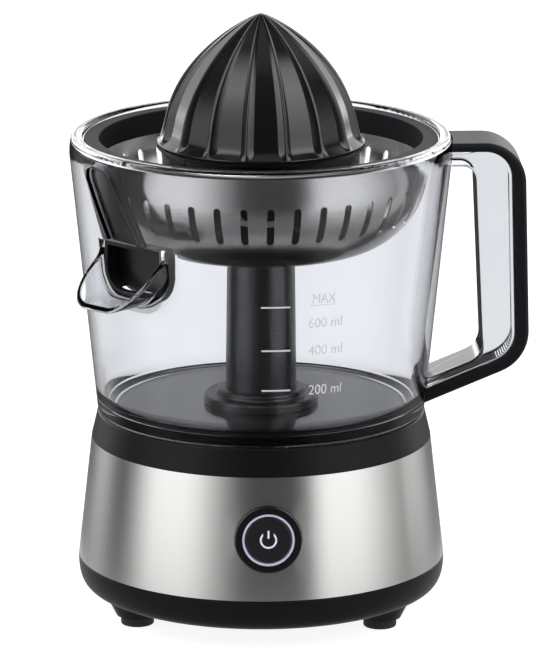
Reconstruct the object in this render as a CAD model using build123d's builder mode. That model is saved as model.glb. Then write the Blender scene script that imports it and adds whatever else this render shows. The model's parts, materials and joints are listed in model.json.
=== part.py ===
from build123d import *
from math import acos, atan, cos, pi, radians, sin, sqrt, tan
import os

os.makedirs("parts", exist_ok=True)

# Electric citrus juicer, millimetres. The drive axis is Z and the feet stand on Z = 0.
# The power button faces -Y, the handle points to +X, the scoop points between -X and -Y.

# Clearances shared by all pieces
overrun = 3.0            # how far a cut runs past what it cuts
run_gap = 0.4            # between pieces that move past each other
seat_gap = 0.15          # between curved faces that are joined
shaft_gap = 0.05         # a shaft in its bush, all round

# Levels, from the floor up
foot_show = 4.0
leg_drop = 5.2
pan_height = 13.8
band_height = 50.0
collar_height = 11.3
jug_height = 115.2
pan_floor_z = foot_show + leg_drop
seam_z = pan_floor_z + pan_height
collar_z = seam_z + band_height
seat_z = collar_z + collar_height
rim_z = seat_z + jug_height

# Base radii
band_foot_radius = 75.6
band_taper = 5.65        # top of the band inside its foot
jug_foot_inset = 2.65    # jug foot inside the top of the band

# Base pan
pan_proud = 0.1
pan_floor_inset = 8.7    # pan floor inside the foot of the band
pan_wall = 2.6
pan_turn_drop = 1.5      # height of the upright edge below the seam
pan_round_share = 0.72
pan_edge = 0.7
pan_post_radius = 5.5
pan_post_height = 4.2
pan_vent_count = 5
pan_vent_pitch = 9.0
pan_vent_length = 34.0
pan_vent_width = 3.0

# Feet and the screws above them
foot_circle_share = 0.8832  # of the pan floor, or of the deck if that is smaller
foot_angle = 32.56
foot_turn = -4.2         # of all four about the drive axis
foot_radius = 6.8
foot_seat = 2.2
foot_round = 0.8
leg_foot_radius = 8.6
leg_root_radius = 12.5
pan_screw_radius = 1.5
pan_screw_head_radius = 3.0
pan_screw_head = 2.2
pan_screw_length = 14.0
pan_screw_sink = 3.6     # head below the foot pocket
pan_screw_cross = 0.8

# Steel band
band_sheet = 0.8

# Top housing
housing_wall = 2.2
deck_wall = 3.0
collar_edge = 0.9
housing_post_radius = 4.4
post_hole_spare = 3.0
pit_radius = 20.6
pit_depth = 4.3
pit_wall = 3.0

# Power button, measured along its own axis from the face of the band
button_lift = 25.0       # above the seam
bezel_radius = 13.6
bezel_proud = 1.4
bezel_depth = 8.0
bezel_round = 0.6
bezel_flange_radius = 16.5
bezel_flange = 2.0
ring_outer_radius = 10.5
ring_wall = 0.8
ring_recess = 0.15
ring_depth = 9.0
pad_radius = 17.5
pad_start = 3.1
pad_depth = 6.0
cap_recess = 0.35
cap_thickness = 2.6
cap_round = 0.4
cap_travel = 1.4
plunger_radius = 2.2
symbol_radius = 3.1
symbol_line = 0.75
symbol_depth = 0.5
symbol_gap_angle = 70.0
symbol_bar_length = 3.4
spring_radius = 5.6
spring_wire = 0.6
spring_turns = 5
spring_seat_gap = 0.2

# Control board behind the button
board_depth = 11.5
board_width = 52.0
board_height = 34.0
board_thickness = 1.6
board_round = 2.0
board_post_x = 21.5
board_post_radius = 3.0
board_post_length = 6.1
board_screw_radius = 1.2
board_screw_head_radius = 2.6
board_screw_head = 1.8
board_screw_length = 5.6
switch_side = 6.0
switch_height = 3.2
switch_dome_radius = 1.7
switch_dome = 1.0
led_count = 6
led_length = 2.0
led_width = 1.2
led_height = 0.8

# Cord gland in the rear of the pan
gland_drop = 6.6         # below the seam
gland_bore_radius = 3.3
gland_neck_radius = 4.6
gland_flange_radius = 6.0
gland_flange = 1.6

# Gear train
gear_pressure_angle = 25.0
gear_addendum_share = 0.9
gear_dedendum_share = 1.15
gear_backlash = 0.14
pinion_teeth = 14
wheel_teeth = 56
first_module = 0.7       # motor pinion to idler wheel
second_module = 1.0      # idler pinion to output gear
motor_bearing_angle = -50.0   # from the idler to the motor, and to the drive axis
output_bearing_angle = -90.0
plate_z = 50.0
plate_thickness = 3.0
plate_post_circle = 39.0
plate_margin = 4.0       # plate past the circle of its posts
plate_post_radius = 3.6
plate_post_angles = (0.0, 140.0, 215.0, 290.0)
plate_screw_radius = 1.3
plate_screw_head_radius = 2.8
plate_screw_head = 1.8
plate_screw_length = 9.0
first_wheel_lift = 2.5   # first stage above the plate
first_face = 5.5
second_lift = 1.5        # output gear above the first stage
second_face = 7.5
gear_web = 3.0
gear_rim = 4.5
idler_pin_radius = 2.5
idler_hub_radius = 5.2
idler_foot_gap = 0.3
idler_head_gap = 0.5
idler_boss_radius = 5.6
idler_pin_seat = 5.0
output_hub_radius = 7.0
output_hub_rise = 2.0

# Motor, hung under the gear plate
motor_radius = 21.0
motor_length = 33.0
motor_wall = 1.5
motor_cap_height = 4.0
motor_cap_boss_radius = 5.5
motor_cap_boss = 1.8
motor_edge = 1.2
rotor_radius = 15.5
rotor_length = 18.0
rotor_shaft_radius = 2.0
rotor_slots = 9
rotor_slot_width = 2.4
rotor_slot_depth = 4.0
motor_bush_radius = 4.0
motor_bush_length = 4.0
motor_screw_spread = 8.0
motor_screw_radius = 1.3
motor_screw_head_radius = 2.3
motor_screw_head = 1.6

# Drive shaft and its tower
shaft_radius = 4.0
shaft_rise = 36.0        # above the column
shaft_flat = 6.0         # across the two driving flats
shaft_flat_length = 22.0
shaft_point = 0.8
bush_radius = 6.5
bush_flange_radius = 9.0
bush_flange = 1.0
circlip_radius = 6.2
circlip_thickness = 1.0
circlip_groove = 0.5
tower_radius = 9.4
tower_bore_radius = 6.6
tower_top_drop = 7.0     # below the top of the column
tower_flange_radius = 17.0
tower_flange = 2.7
tower_bush_length = 8.0
tower_screw_circle = 13.2
tower_screw_count = 3
tower_screw_radius = 1.1
tower_screw_head_radius = 2.1
tower_screw_head = 1.2
tower_screw_length = 5.0
seal_thickness = 2.0

# Jug
jug_wall = 3.0
jug_flare = 10.8         # shoulder outside the foot
jug_shoulder_drop = 8.5  # shoulder below the rim
rim_turn_in = 1.1        # rim inside the shoulder
rim_width = 4.3
rim_lip = 2.0
rim_slope = 1.2
rim_round = 1.7
jug_foot_lift = 0.6      # floor above the foot ring
jug_foot_width = 4.0
jug_foot_round = 1.2
jug_floor = 2.4
jug_floor_round = 8.0

# Pouring scoop, measured outward along its own direction
scoop_angle = 224.0
scoop_half_width = 17.8
scoop_wall = 2.2
scoop_bottom_drop = 57.9 # below the rim
scoop_corner = 12.5
scoop_root_sink = 1.6    # root inside the outside of the wall
scoop_root_drop = 38.2   # below the rim
scoop_reach = 24.6
scoop_drop = 20.3
scoop_root_round = 7.0
scoop_lip_round = 0.7
opening_top_drop = 34.5  # below the rim

# Leaning recess above the scoop
recess_depth = 1.9
recess_width = 17.5
recess_height = 28.0
recess_lean = 17.0
recess_foot_x = -5.0
recess_round = 4.0
recess_edge = 0.8

# Spout guard behind the opening
guard_wall = 1.6
guard_margin = 4.0
guard_depth = 7.5        # back plate inside the root of the scoop
guard_proud = 1.2
guard_inlet = 4.4
guard_inlet_drop = 53.0  # below the rim

# Handle, in the XZ plane
handle_top_drop = 2.5    # below the rim
handle_top_reach = 29.1  # past the shoulder of the jug
handle_low_reach = 31.6
handle_low_lift = 21.8   # above the foot of the jug
handle_root_lift = 3.6
handle_root_sink = 1.3   # root inside the outside of the jug
handle_round_top = 17.0
handle_round_low = 18.0
grip_top = 3.7           # thickness of the grip on the top bar, the side and the lower arm
grip_side = 5.8
grip_arm = 5.0
grip_width = 28.0
grip_edge = 1.6
grip_round_top = 11.0
grip_round_low = 13.0
frame_top = 10.0         # top bar, side and lower arm, grip and clear frame together
frame_side_top = 20.6
frame_side_low = 18.8
frame_arm = 8.6
frame_width = 24.0
frame_round_top = 6.0
frame_round_low = 9.0
frame_edge = 1.2

# Centre column
column_foot_radius = 14.6
column_top_radius = 13.9
column_bore_radius = 11.2
column_top_drop = 3.1    # below the bowl
column_flange_radius = 23.6
column_flange = 3.4
column_step_radius = 18.2
column_step = 2.6
column_round = 1.0
neck_radius = 14.0
neck_drop = 6.2
seal_inner_radius = 16.2
seal_outer_radius = 21.4
seal_height = 1.0
nut_radius = 19.0
nut_height = 3.8
nut_notch = 3.0
nut_notch_count = 4

# Strainer bowl
bowl_sheet = 0.8
bowl_gap = 4.3           # bowl inside the mouth of the jug
bowl_side_drop = 10.0    # upright stretch under the ring
bowl_depth = 43.0
bowl_floor_radius = 39.0
bowl_curve_share = 0.5
bowl_hole_radius = 16.2
slot_count = 40
slot_width = 2.9
slot_lift = 13.9         # above the floor of the bowl
slot_length = 16.0
slot_first_angle = -89.0

# Strainer ring
ring_flange_gap = 0.5
ring_flange = 2.0
ring_top_drop = 1.4      # ring below the jug rim
ring_skirt = 7.5
ring_skirt_wall = 1.3
ring_edge = 0.5

# Strainer hub
hub_flange_radius = 20.5
hub_upper = 2.2
hub_top_radius = 10.2
hub_rise = 6.2
hub_bore_radius = 5.4
hub_spigot = 4.0
hub_round = 0.6

# Reamer
cone_base_drop = 5.5     # below the rim of the jug
cone_height = 55.2
cone_radius = 40.6
cone_tip_radius = 0.5
cone_rim_radius = 42.2
cone_rim = 2.6
cone_skirt_radius = 40.4
cone_skirt = 7.0
cone_rise_power = 2.17
cone_fall_power = 1.2
cone_section_shares = (0.0, 0.16, 0.34, 0.52, 0.68, 0.81, 0.91, 0.97)
flute_count = 16
flute_first_angle = 12.0
flute_depth_share = 0.055
flute_floor_share = 0.66
cone_wall = 2.6
cone_cavity_shares = (0.0, 0.25, 0.5, 0.7, 0.82)
stem_radius = 8.2
washer_thickness = 2.0
washer_radius = 9.6
socket_radius = 6.0
socket_slack = 0.2
socket_roof = 2.0
cone_rim_round = 0.7

# Radii and levels that follow from these sizes
band_top_radius = band_foot_radius - band_taper
jug_foot_radius = band_top_radius - jug_foot_inset
jug_shoulder_radius = jug_foot_radius + jug_flare
button_z = seam_z + button_lift
gland_z = seam_z - gland_drop
ring_top_z = rim_z - ring_top_drop
ring_under_z = ring_top_z - ring_flange
bowl_floor_z = ring_under_z - bowl_depth
slot_low_z = bowl_floor_z + slot_lift
slot_high_z = slot_low_z + slot_length
column_top_z = bowl_floor_z - column_top_drop
tower_top_z = column_top_z - tower_top_drop
shaft_top_z = column_top_z + shaft_rise
scoop_bottom_z = rim_z - scoop_bottom_drop
scoop_root_z = rim_z - scoop_root_drop
opening_top_z = rim_z - opening_top_drop
guard_inlet_z = rim_z - guard_inlet_drop
handle_top_z = rim_z - handle_top_drop
handle_low_z = seat_z + handle_low_lift
handle_root_low_z = seat_z + handle_root_lift
cone_base_z = rim_z - cone_base_drop
cone_tip_z = cone_base_z + cone_height


def band_radius(z):
    return band_foot_radius + (band_top_radius - band_foot_radius) * (z - seam_z) / band_height


def jug_radius(z):
    rise = jug_height - jug_shoulder_drop
    return jug_foot_radius + (jug_shoulder_radius - jug_foot_radius) * (z - seat_z) / rise


def reamer_radius(z):
    share = (z - cone_base_z) / (cone_tip_z - cone_base_z)
    return cone_radius * (1 - share**cone_rise_power) ** (1 / cone_fall_power)


# Outline of a spur gear with a tooth centred on the phase angle
def gear_outline(teeth, module, phase):
    pitch = teeth * module / 2
    base = pitch * cos(radians(gear_pressure_angle))
    root = pitch - gear_dedendum_share * module
    tip = pitch + gear_addendum_share * module
    lean = tan(radians(gear_pressure_angle)) - radians(gear_pressure_angle)
    flank = []
    for radius in (root, max(base, root), pitch, tip):
        roll = acos(min(base / radius, 1))
        half = pi / (2 * teeth) - gear_backlash / (2 * pitch) + lean - (tan(roll) - roll)
        flank.append((radius, half))
    points = []
    for tooth in range(teeth):
        middle = radians(phase) + 2 * pi * tooth / teeth
        for radius, half in flank:
            points.append((radius * cos(middle - half), radius * sin(middle - half)))
        for radius, half in reversed(flank):
            points.append((radius * cos(middle + half), radius * sin(middle + half)))
    return points


# Section of the reamer: sharp ridges with a flat floor between each two
def flute_outline(radius):
    pitch = 2 * pi / flute_count
    floor_radius = radius * (1 - flute_depth_share)
    points = []
    for flute in range(flute_count):
        ridge = radians(flute_first_angle) + pitch * flute
        for turn, reach in (
            (0, radius),
            ((1 - flute_floor_share) / 2, floor_radius),
            ((1 + flute_floor_share) / 2, floor_radius),
        ):
            points.append((reach * cos(ridge + pitch * turn), reach * sin(ridge + pitch * turn)))
    return points


# Base pan: a rounded dish with legs, screw posts and vents
pan_rim_radius = band_foot_radius + pan_proud
pan_floor_radius = band_foot_radius - pan_floor_inset
foot_circle = foot_circle_share * min(pan_floor_radius, jug_foot_radius)
foot_places = [
    (foot_circle * cos(radians(turn)), foot_circle * sin(radians(turn)))
    for turn in (
        foot_turn - foot_angle,
        foot_turn + foot_angle,
        foot_turn + 180 - foot_angle,
        foot_turn + 180 + foot_angle,
    )
]
pan_turn_z = seam_z - pan_turn_drop
pan_inner_z = pan_floor_z + pan_wall
pan_post_z = pan_inner_z + pan_post_height
pan_flare = pan_rim_radius - pan_floor_radius
pan_rise = pan_turn_z - pan_floor_z
screw_seat_z = foot_show + foot_seat + pan_screw_sink + pan_screw_head

with BuildPart() as base_pan:
    with BuildSketch(Plane.XZ):
        with BuildLine():
            Line((0, pan_floor_z), (pan_floor_radius, pan_floor_z))
            Bezier(
                (pan_floor_radius, pan_floor_z),
                (pan_floor_radius + pan_round_share * pan_flare, pan_floor_z),
                (pan_rim_radius, pan_turn_z - pan_round_share * pan_rise),
                (pan_rim_radius, pan_turn_z),
            )
            Polyline(
                (pan_rim_radius, pan_turn_z),
                (pan_rim_radius, seam_z),
                (pan_rim_radius - pan_wall, seam_z),
                (pan_rim_radius - pan_wall, pan_turn_z),
            )
            Bezier(
                (pan_rim_radius - pan_wall, pan_turn_z),
                (pan_rim_radius - pan_wall, pan_turn_z - pan_round_share * (pan_rise - pan_wall)),
                (pan_floor_radius - pan_wall + pan_round_share * pan_flare, pan_inner_z),
                (pan_floor_radius - pan_wall, pan_inner_z),
            )
            Polyline((pan_floor_radius - pan_wall, pan_inner_z), (0, pan_inner_z), (0, pan_floor_z))
        make_face()
    revolve(axis=Axis.Z)
    outer_edge = base_pan.edges().group_by(Axis.Z)[-1].sort_by(SortBy.RADIUS)[-1]
    chamfer(outer_edge, pan_edge)
    with Locations([(x, y, foot_show) for x, y in foot_places]):
        Cone(
            leg_foot_radius,
            leg_root_radius,
            leg_drop + pan_wall,
            align=(Align.CENTER, Align.CENTER, Align.MIN),
        )
    with BuildSketch(Plane.XY.offset(pan_inner_z)):
        with Locations(foot_places):
            Circle(pan_post_radius)
    extrude(amount=pan_post_height)
    with BuildSketch(Plane.XY.offset(foot_show)):
        with Locations(foot_places):
            Circle(foot_radius + seat_gap)
    extrude(amount=foot_seat, mode=Mode.SUBTRACT)
    with BuildSketch(Plane.XY.offset(foot_show)):
        with Locations(foot_places):
            Circle(pan_screw_head_radius + seat_gap)
    extrude(amount=screw_seat_z - foot_show, mode=Mode.SUBTRACT)
    with BuildSketch(Plane.XY.offset(foot_show)):
        with Locations(foot_places):
            Circle(pan_screw_radius + seat_gap)
    extrude(amount=pan_post_z - foot_show + overrun, mode=Mode.SUBTRACT)
    with BuildSketch(Plane.XY.offset(pan_floor_z)):
        with GridLocations(0, pan_vent_pitch, 1, pan_vent_count):
            SlotOverall(pan_vent_length, pan_vent_width)
    extrude(amount=pan_wall + overrun, both=True, mode=Mode.SUBTRACT)
    with BuildSketch(Plane.XZ.offset(-pan_rim_radius - overrun)):
        with Locations((0, gland_z)):
            Circle(gland_neck_radius + seat_gap)
    extrude(amount=pan_wall + pan_flare + overrun, mode=Mode.SUBTRACT)
base_pan.part.label = "base_pan"
export_step(base_pan.part, "parts/base_pan.step")

# Rubber feet, pressed into the legs
with BuildPart() as feet:
    with BuildSketch():
        with Locations(foot_places):
            Circle(foot_radius)
    extrude(amount=foot_show + foot_seat)
    fillet(feet.edges().group_by(Axis.Z)[0], foot_round)
feet.part.label = "feet"
export_step(feet.part, "parts/feet.step")

# Screws that hold the pan to the housing, hidden above the feet
with BuildPart() as pan_screws:
    with BuildSketch(Plane.XY.offset(screw_seat_z)):
        with Locations(foot_places):
            Circle(pan_screw_head_radius)
    extrude(amount=-pan_screw_head)
    with BuildSketch(Plane.XY.offset(screw_seat_z)):
        with Locations(foot_places):
            Circle(pan_screw_radius)
    extrude(amount=pan_screw_length)
    with BuildSketch(Plane.XY.offset(screw_seat_z - pan_screw_head)):
        with Locations(foot_places):
            Rectangle(pan_screw_head_radius, pan_screw_cross)
            Rectangle(pan_screw_cross, pan_screw_head_radius)
    extrude(amount=pan_screw_head / 2, mode=Mode.SUBTRACT)
pan_screws.part.label = "pan_screws"
export_step(pan_screws.part, "parts/pan_screws.step")

# Rubber gland where a cord enters the rear of the pan
gland_outer_y = pan_rim_radius + seat_gap
gland_length = pan_wall + seat_gap
with BuildPart() as cord_gland:
    with BuildSketch(Plane.XZ.offset(-gland_outer_y)):
        with Locations((0, gland_z)):
            Circle(gland_flange_radius)
    extrude(amount=-gland_flange)
    with BuildSketch(Plane.XZ.offset(-gland_outer_y)):
        with Locations((0, gland_z)):
            Circle(gland_neck_radius)
    extrude(amount=gland_length + gland_flange)
    with BuildSketch(Plane.XZ.offset(-gland_outer_y - gland_flange - overrun)):
        with Locations((0, gland_z)):
            Circle(gland_bore_radius)
    extrude(amount=gland_length + 2 * gland_flange + 2 * overrun, mode=Mode.SUBTRACT)
    fillet(cord_gland.faces().sort_by(Axis.Y)[-1].outer_wire().edges(), gland_flange / 2)
cord_gland.part.label = "cord_gland"
export_step(cord_gland.part, "parts/cord_gland.step")

# The button sits square to the sloping band
band_lean = atan((band_foot_radius - band_top_radius) / band_height)
button_plane = Plane(
    origin=(0, -band_radius(button_z), button_z),
    x_dir=(1, 0, 0),
    z_dir=(0, -cos(band_lean), sin(band_lean)),
)

# Brushed steel band
with BuildPart() as steel_band:
    with BuildSketch(Plane.XZ):
        with BuildLine():
            Polyline(
                (band_foot_radius, seam_z),
                (band_top_radius, collar_z),
                (band_top_radius - band_sheet, collar_z),
                (band_foot_radius - band_sheet, seam_z),
                close=True,
            )
        make_face()
    revolve(axis=Axis.Z)
    with BuildSketch(button_plane.offset(-bezel_depth)):
        Circle(bezel_radius + seat_gap)
    extrude(amount=bezel_depth + overrun, mode=Mode.SUBTRACT)
steel_band.part.label = "steel_band"
export_step(steel_band.part, "parts/steel_band.step")

# Places of the gear train
idler_reach = second_module * (pinion_teeth + wheel_teeth) / 2
motor_reach = first_module * (pinion_teeth + wheel_teeth) / 2
idler_place = (0, idler_reach)
motor_place = (
    motor_reach * cos(radians(motor_bearing_angle)),
    idler_reach + motor_reach * sin(radians(motor_bearing_angle)),
)
plate_top_z = plate_z + plate_thickness
first_z = plate_top_z + first_wheel_lift
second_z = first_z + first_face + second_lift
second_top_z = second_z + second_face
hub_head_z = second_top_z + output_hub_rise
plate_posts = [
    (plate_post_circle * cos(radians(angle)), plate_post_circle * sin(radians(angle)))
    for angle in plate_post_angles
]
deck_under_z = seat_z - deck_wall
pit_z = seat_z - pit_depth
pit_under_z = pit_z - pit_wall
idler_boss_z = second_top_z + output_hub_rise + idler_head_gap

# Top housing: collar, deck and the inner wall behind the band
skin_foot = band_foot_radius - band_sheet - seat_gap
skin_top = band_top_radius - band_sheet - seat_gap
with BuildPart() as top_housing:
    with BuildSketch(Plane.XZ):
        with BuildLine():
            Polyline(
                (skin_foot, seam_z),
                (skin_top, collar_z),
                (band_top_radius, collar_z),
                (jug_foot_radius, seat_z),
                (pit_radius, seat_z),
                (pit_radius, pit_z),
                (tower_radius + seat_gap, pit_z),
                (tower_radius + seat_gap, pit_under_z),
                (pit_radius + pit_wall, pit_under_z),
                (pit_radius + pit_wall, deck_under_z),
                (skin_top - housing_wall, deck_under_z),
                (skin_top - housing_wall, collar_z),
                (skin_foot - housing_wall, seam_z),
                close=True,
            )
        make_face()
    revolve(axis=Axis.Z)
    top_edges = top_housing.edges().filter_by(GeomType.CIRCLE).group_by(Axis.Z)[-1]
    fillet(top_edges.sort_by(SortBy.RADIUS)[-1], collar_edge)
    with BuildSketch(Plane.XY.offset(pan_post_z)):
        with Locations(foot_places):
            Circle(housing_post_radius)
    extrude(amount=deck_under_z - pan_post_z)
    with BuildSketch(Plane.XY.offset(plate_top_z)):
        with Locations(plate_posts):
            Circle(plate_post_radius)
    extrude(amount=deck_under_z - plate_top_z)
    with BuildSketch(Plane.XY.offset(idler_boss_z)):
        with Locations(idler_place):
            Circle(idler_boss_radius)
    extrude(amount=deck_under_z - idler_boss_z)
    with BuildSketch(button_plane.offset(-pad_start)):
        Circle(pad_radius)
    extrude(amount=pad_start - pad_depth)
    with BuildSketch(button_plane.offset(-board_depth)):
        with Locations((-board_post_x, 0), (board_post_x, 0)):
            Circle(board_post_radius)
    extrude(amount=board_post_length)
    with BuildSketch(button_plane.offset(-pad_depth - overrun)):
        Circle(bezel_radius + seat_gap)
    extrude(amount=pad_depth + 2 * overrun, mode=Mode.SUBTRACT)
    with BuildSketch(button_plane.offset(-board_depth)):
        with Locations((-board_post_x, 0), (board_post_x, 0)):
            Circle(board_screw_radius + shaft_gap)
    extrude(amount=board_screw_length - board_thickness + seat_gap, mode=Mode.SUBTRACT)
    with BuildSketch(Plane.XY.offset(pan_post_z)):
        with Locations(foot_places):
            Circle(pan_screw_radius + shaft_gap)
    extrude(amount=screw_seat_z + pan_screw_length - pan_post_z + post_hole_spare, mode=Mode.SUBTRACT)
    with BuildSketch(Plane.XY.offset(plate_top_z)):
        with Locations(plate_posts):
            Circle(plate_screw_radius + shaft_gap)
    extrude(amount=plate_screw_length - plate_thickness + post_hole_spare, mode=Mode.SUBTRACT)
    with BuildSketch(Plane.XY.offset(idler_boss_z)):
        with Locations(idler_place):
            Circle(idler_pin_radius + shaft_gap)
    extrude(amount=idler_pin_seat + seat_gap, mode=Mode.SUBTRACT)
    with BuildSketch(Plane.XY.offset(pit_under_z)):
        with PolarLocations(tower_screw_circle, tower_screw_count):
            Circle(tower_screw_radius + shaft_gap)
    extrude(amount=tower_screw_length - tower_flange + seat_gap, mode=Mode.SUBTRACT)
top_housing.part.label = "top_housing"
export_step(top_housing.part, "parts/top_housing.step")

# Button bezel, put in from inside and held by its rear flange
with BuildPart() as button_bezel:
    with BuildSketch(button_plane.offset(bezel_proud)):
        Circle(bezel_radius)
    extrude(amount=-bezel_proud - bezel_depth)
    with BuildSketch(button_plane.offset(-pad_depth)):
        Circle(bezel_flange_radius)
    extrude(amount=-bezel_flange)
    with BuildSketch(button_plane.offset(bezel_proud)):
        Circle(ring_outer_radius + seat_gap)
    extrude(amount=-bezel_proud - bezel_depth - overrun, mode=Mode.SUBTRACT)
    front_rings = button_bezel.faces().sort_by(Axis.Y)[0].edges()
    fillet(front_rings.sort_by(SortBy.RADIUS)[-1], bezel_round)
button_bezel.part.label = "button_bezel"
export_step(button_bezel.part, "parts/button_bezel.step")

# Clear ring that carries the light from the board to the face
ring_inner_radius = ring_outer_radius - ring_wall
with BuildPart() as light_ring:
    with BuildSketch(button_plane.offset(bezel_proud - ring_recess)):
        Circle(ring_outer_radius)
        Circle(ring_inner_radius, mode=Mode.SUBTRACT)
    extrude(amount=ring_recess - bezel_proud - ring_depth)
light_ring.part.label = "light_ring"
export_step(light_ring.part, "parts/light_ring.step")

# Button cap with its plunger and a pocket for the symbol
cap_face = bezel_proud - cap_recess
plunger_end = -board_depth + switch_height + switch_dome + cap_travel + run_gap
with BuildPart() as button_cap:
    with BuildSketch(button_plane.offset(cap_face)):
        Circle(ring_inner_radius - run_gap)
    extrude(amount=-cap_thickness)
    fillet(button_cap.faces().sort_by(Axis.Y)[0].edges(), cap_round)
    with BuildSketch(button_plane.offset(cap_face - cap_thickness)):
        Circle(plunger_radius)
    extrude(amount=plunger_end - cap_face + cap_thickness)
    with BuildSketch(button_plane.offset(cap_face)):
        Circle(symbol_radius + symbol_line / 2)
        Circle(symbol_radius - symbol_line / 2, mode=Mode.SUBTRACT)
        with Locations((0, symbol_radius)):
            Rectangle(
                2 * symbol_radius * tan(radians(symbol_gap_angle / 2)),
                2 * symbol_radius,
                mode=Mode.SUBTRACT,
            )
        with Locations((0, symbol_radius - symbol_bar_length / 4)):
            SlotOverall(symbol_bar_length, symbol_line, rotation=90)
    extrude(amount=-symbol_depth, mode=Mode.SUBTRACT)
button_cap.part.label = "button_cap"
export_step(button_cap.part, "parts/button_cap.step")

# Power symbol, a pale insert flush with the cap
with BuildPart() as power_symbol:
    with BuildSketch(button_plane.offset(cap_face)):
        Circle(symbol_radius + symbol_line / 2)
        Circle(symbol_radius - symbol_line / 2, mode=Mode.SUBTRACT)
        with Locations((0, symbol_radius)):
            Rectangle(
                2 * symbol_radius * tan(radians(symbol_gap_angle / 2)),
                2 * symbol_radius,
                mode=Mode.SUBTRACT,
            )
        with Locations((0, symbol_radius - symbol_bar_length / 4)):
            SlotOverall(symbol_bar_length, symbol_line, rotation=90)
    extrude(amount=-symbol_depth)
power_symbol.part.label = "power_symbol"
export_step(power_symbol.part, "parts/power_symbol.step")

# Return spring between the cap and the board
spring_foot = -board_depth + spring_seat_gap + spring_wire / 2
spring_head = cap_face - cap_thickness - spring_seat_gap - spring_wire / 2
spring_length = spring_head - spring_foot
with BuildPart() as button_spring:
    with BuildLine():
        coil = Helix(
            spring_length / spring_turns,
            spring_length,
            spring_radius,
            center=button_plane.offset(spring_foot).origin,
            direction=button_plane.z_dir,
        )
    with BuildSketch(Plane(coil @ 0, z_dir=coil % 0)):
        Circle(spring_wire / 2)
    sweep(path=coil, is_frenet=True)
button_spring.part.label = "button_spring"
export_step(button_spring.part, "parts/button_spring.step")

# Control board, screwed to two posts of the housing
with BuildPart() as control_board:
    with BuildSketch(button_plane.offset(-board_depth)):
        RectangleRounded(board_width, board_height, board_round)
        with Locations((-board_post_x, 0), (board_post_x, 0)):
            Circle(board_screw_radius + seat_gap, mode=Mode.SUBTRACT)
    extrude(amount=-board_thickness)
control_board.part.label = "control_board"
export_step(control_board.part, "parts/control_board.step")

with BuildPart() as board_screws:
    with BuildSketch(button_plane.offset(-board_depth - board_thickness)):
        with Locations((-board_post_x, 0), (board_post_x, 0)):
            Circle(board_screw_head_radius)
    extrude(amount=-board_screw_head)
    with BuildSketch(button_plane.offset(-board_depth - board_thickness)):
        with Locations((-board_post_x, 0), (board_post_x, 0)):
            Circle(board_screw_radius)
    extrude(amount=board_screw_length)
board_screws.part.label = "board_screws"
export_step(board_screws.part, "parts/board_screws.step")

# Push switch under the plunger
with BuildPart() as tact_switch:
    with BuildSketch(button_plane.offset(-board_depth)):
        Rectangle(switch_side, switch_side)
    extrude(amount=switch_height)
    with BuildSketch(button_plane.offset(-board_depth + switch_height)):
        Circle(switch_dome_radius)
    extrude(amount=switch_dome)
tact_switch.part.label = "tact_switch"
export_step(tact_switch.part, "parts/tact_switch.step")

# Light sources under the light ring
with BuildPart() as ring_leds:
    with BuildSketch(button_plane.offset(-board_depth)):
        with PolarLocations(ring_outer_radius - ring_wall / 2, led_count):
            Rectangle(led_width, led_length)
    extrude(amount=led_height)
ring_leds.part.label = "ring_leds"
export_step(ring_leds.part, "parts/ring_leds.step")

# Gear plate under the train
with BuildPart() as gear_plate:
    with BuildSketch(Plane.XY.offset(plate_z)):
        Circle(plate_post_circle + plate_margin)
        Circle(bush_radius + seat_gap, mode=Mode.SUBTRACT)
        with Locations(plate_posts):
            Circle(plate_screw_radius + seat_gap, mode=Mode.SUBTRACT)
        with Locations(idler_place):
            Circle(idler_pin_radius + shaft_gap, mode=Mode.SUBTRACT)
        with Locations(motor_place):
            Circle(motor_bush_radius + seat_gap, mode=Mode.SUBTRACT)
        with Locations(
            (motor_place[0] - motor_screw_spread, motor_place[1]),
            (motor_place[0] + motor_screw_spread, motor_place[1]),
        ):
            Circle(motor_screw_radius + seat_gap, mode=Mode.SUBTRACT)
    extrude(amount=plate_thickness)
gear_plate.part.label = "gear_plate"
export_step(gear_plate.part, "parts/gear_plate.step")

with BuildPart() as gear_plate_screws:
    with BuildSketch(Plane.XY.offset(plate_z)):
        with Locations(plate_posts):
            Circle(plate_screw_head_radius)
    extrude(amount=-plate_screw_head)
    with BuildSketch(Plane.XY.offset(plate_z)):
        with Locations(plate_posts):
            Circle(plate_screw_radius)
    extrude(amount=plate_screw_length)
gear_plate_screws.part.label = "gear_plate_screws"
export_step(gear_plate_screws.part, "parts/gear_plate_screws.step")

# Motor: can, end cap, bushes, rotor, shaft and pinion
motor_foot_z = plate_z - motor_length
motor_cap_z = motor_foot_z - motor_cap_boss
motor_spots = [
    (motor_place[0] - motor_screw_spread, motor_place[1]),
    (motor_place[0] + motor_screw_spread, motor_place[1]),
]
with BuildPart() as motor_can:
    with BuildSketch(Plane.XY.offset(motor_foot_z + motor_cap_height)):
        with Locations(motor_place):
            Circle(motor_radius)
    extrude(amount=motor_length - motor_cap_height)
    fillet(motor_can.edges().group_by(Axis.Z)[-1], motor_edge)
    with BuildSketch(Plane.XY.offset(motor_foot_z + motor_cap_height)):
        with Locations(motor_place):
            Circle(motor_radius - motor_wall)
    extrude(amount=motor_length - motor_cap_height - motor_wall, mode=Mode.SUBTRACT)
    with BuildSketch(Plane.XY.offset(plate_z)):
        with Locations(motor_place):
            Circle(motor_bush_radius + shaft_gap)
        with Locations(motor_spots):
            Circle(motor_screw_radius + shaft_gap)
    extrude(amount=-motor_wall - overrun, mode=Mode.SUBTRACT)
motor_can.part.label = "motor_can"
export_step(motor_can.part, "parts/motor_can.step")

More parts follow.
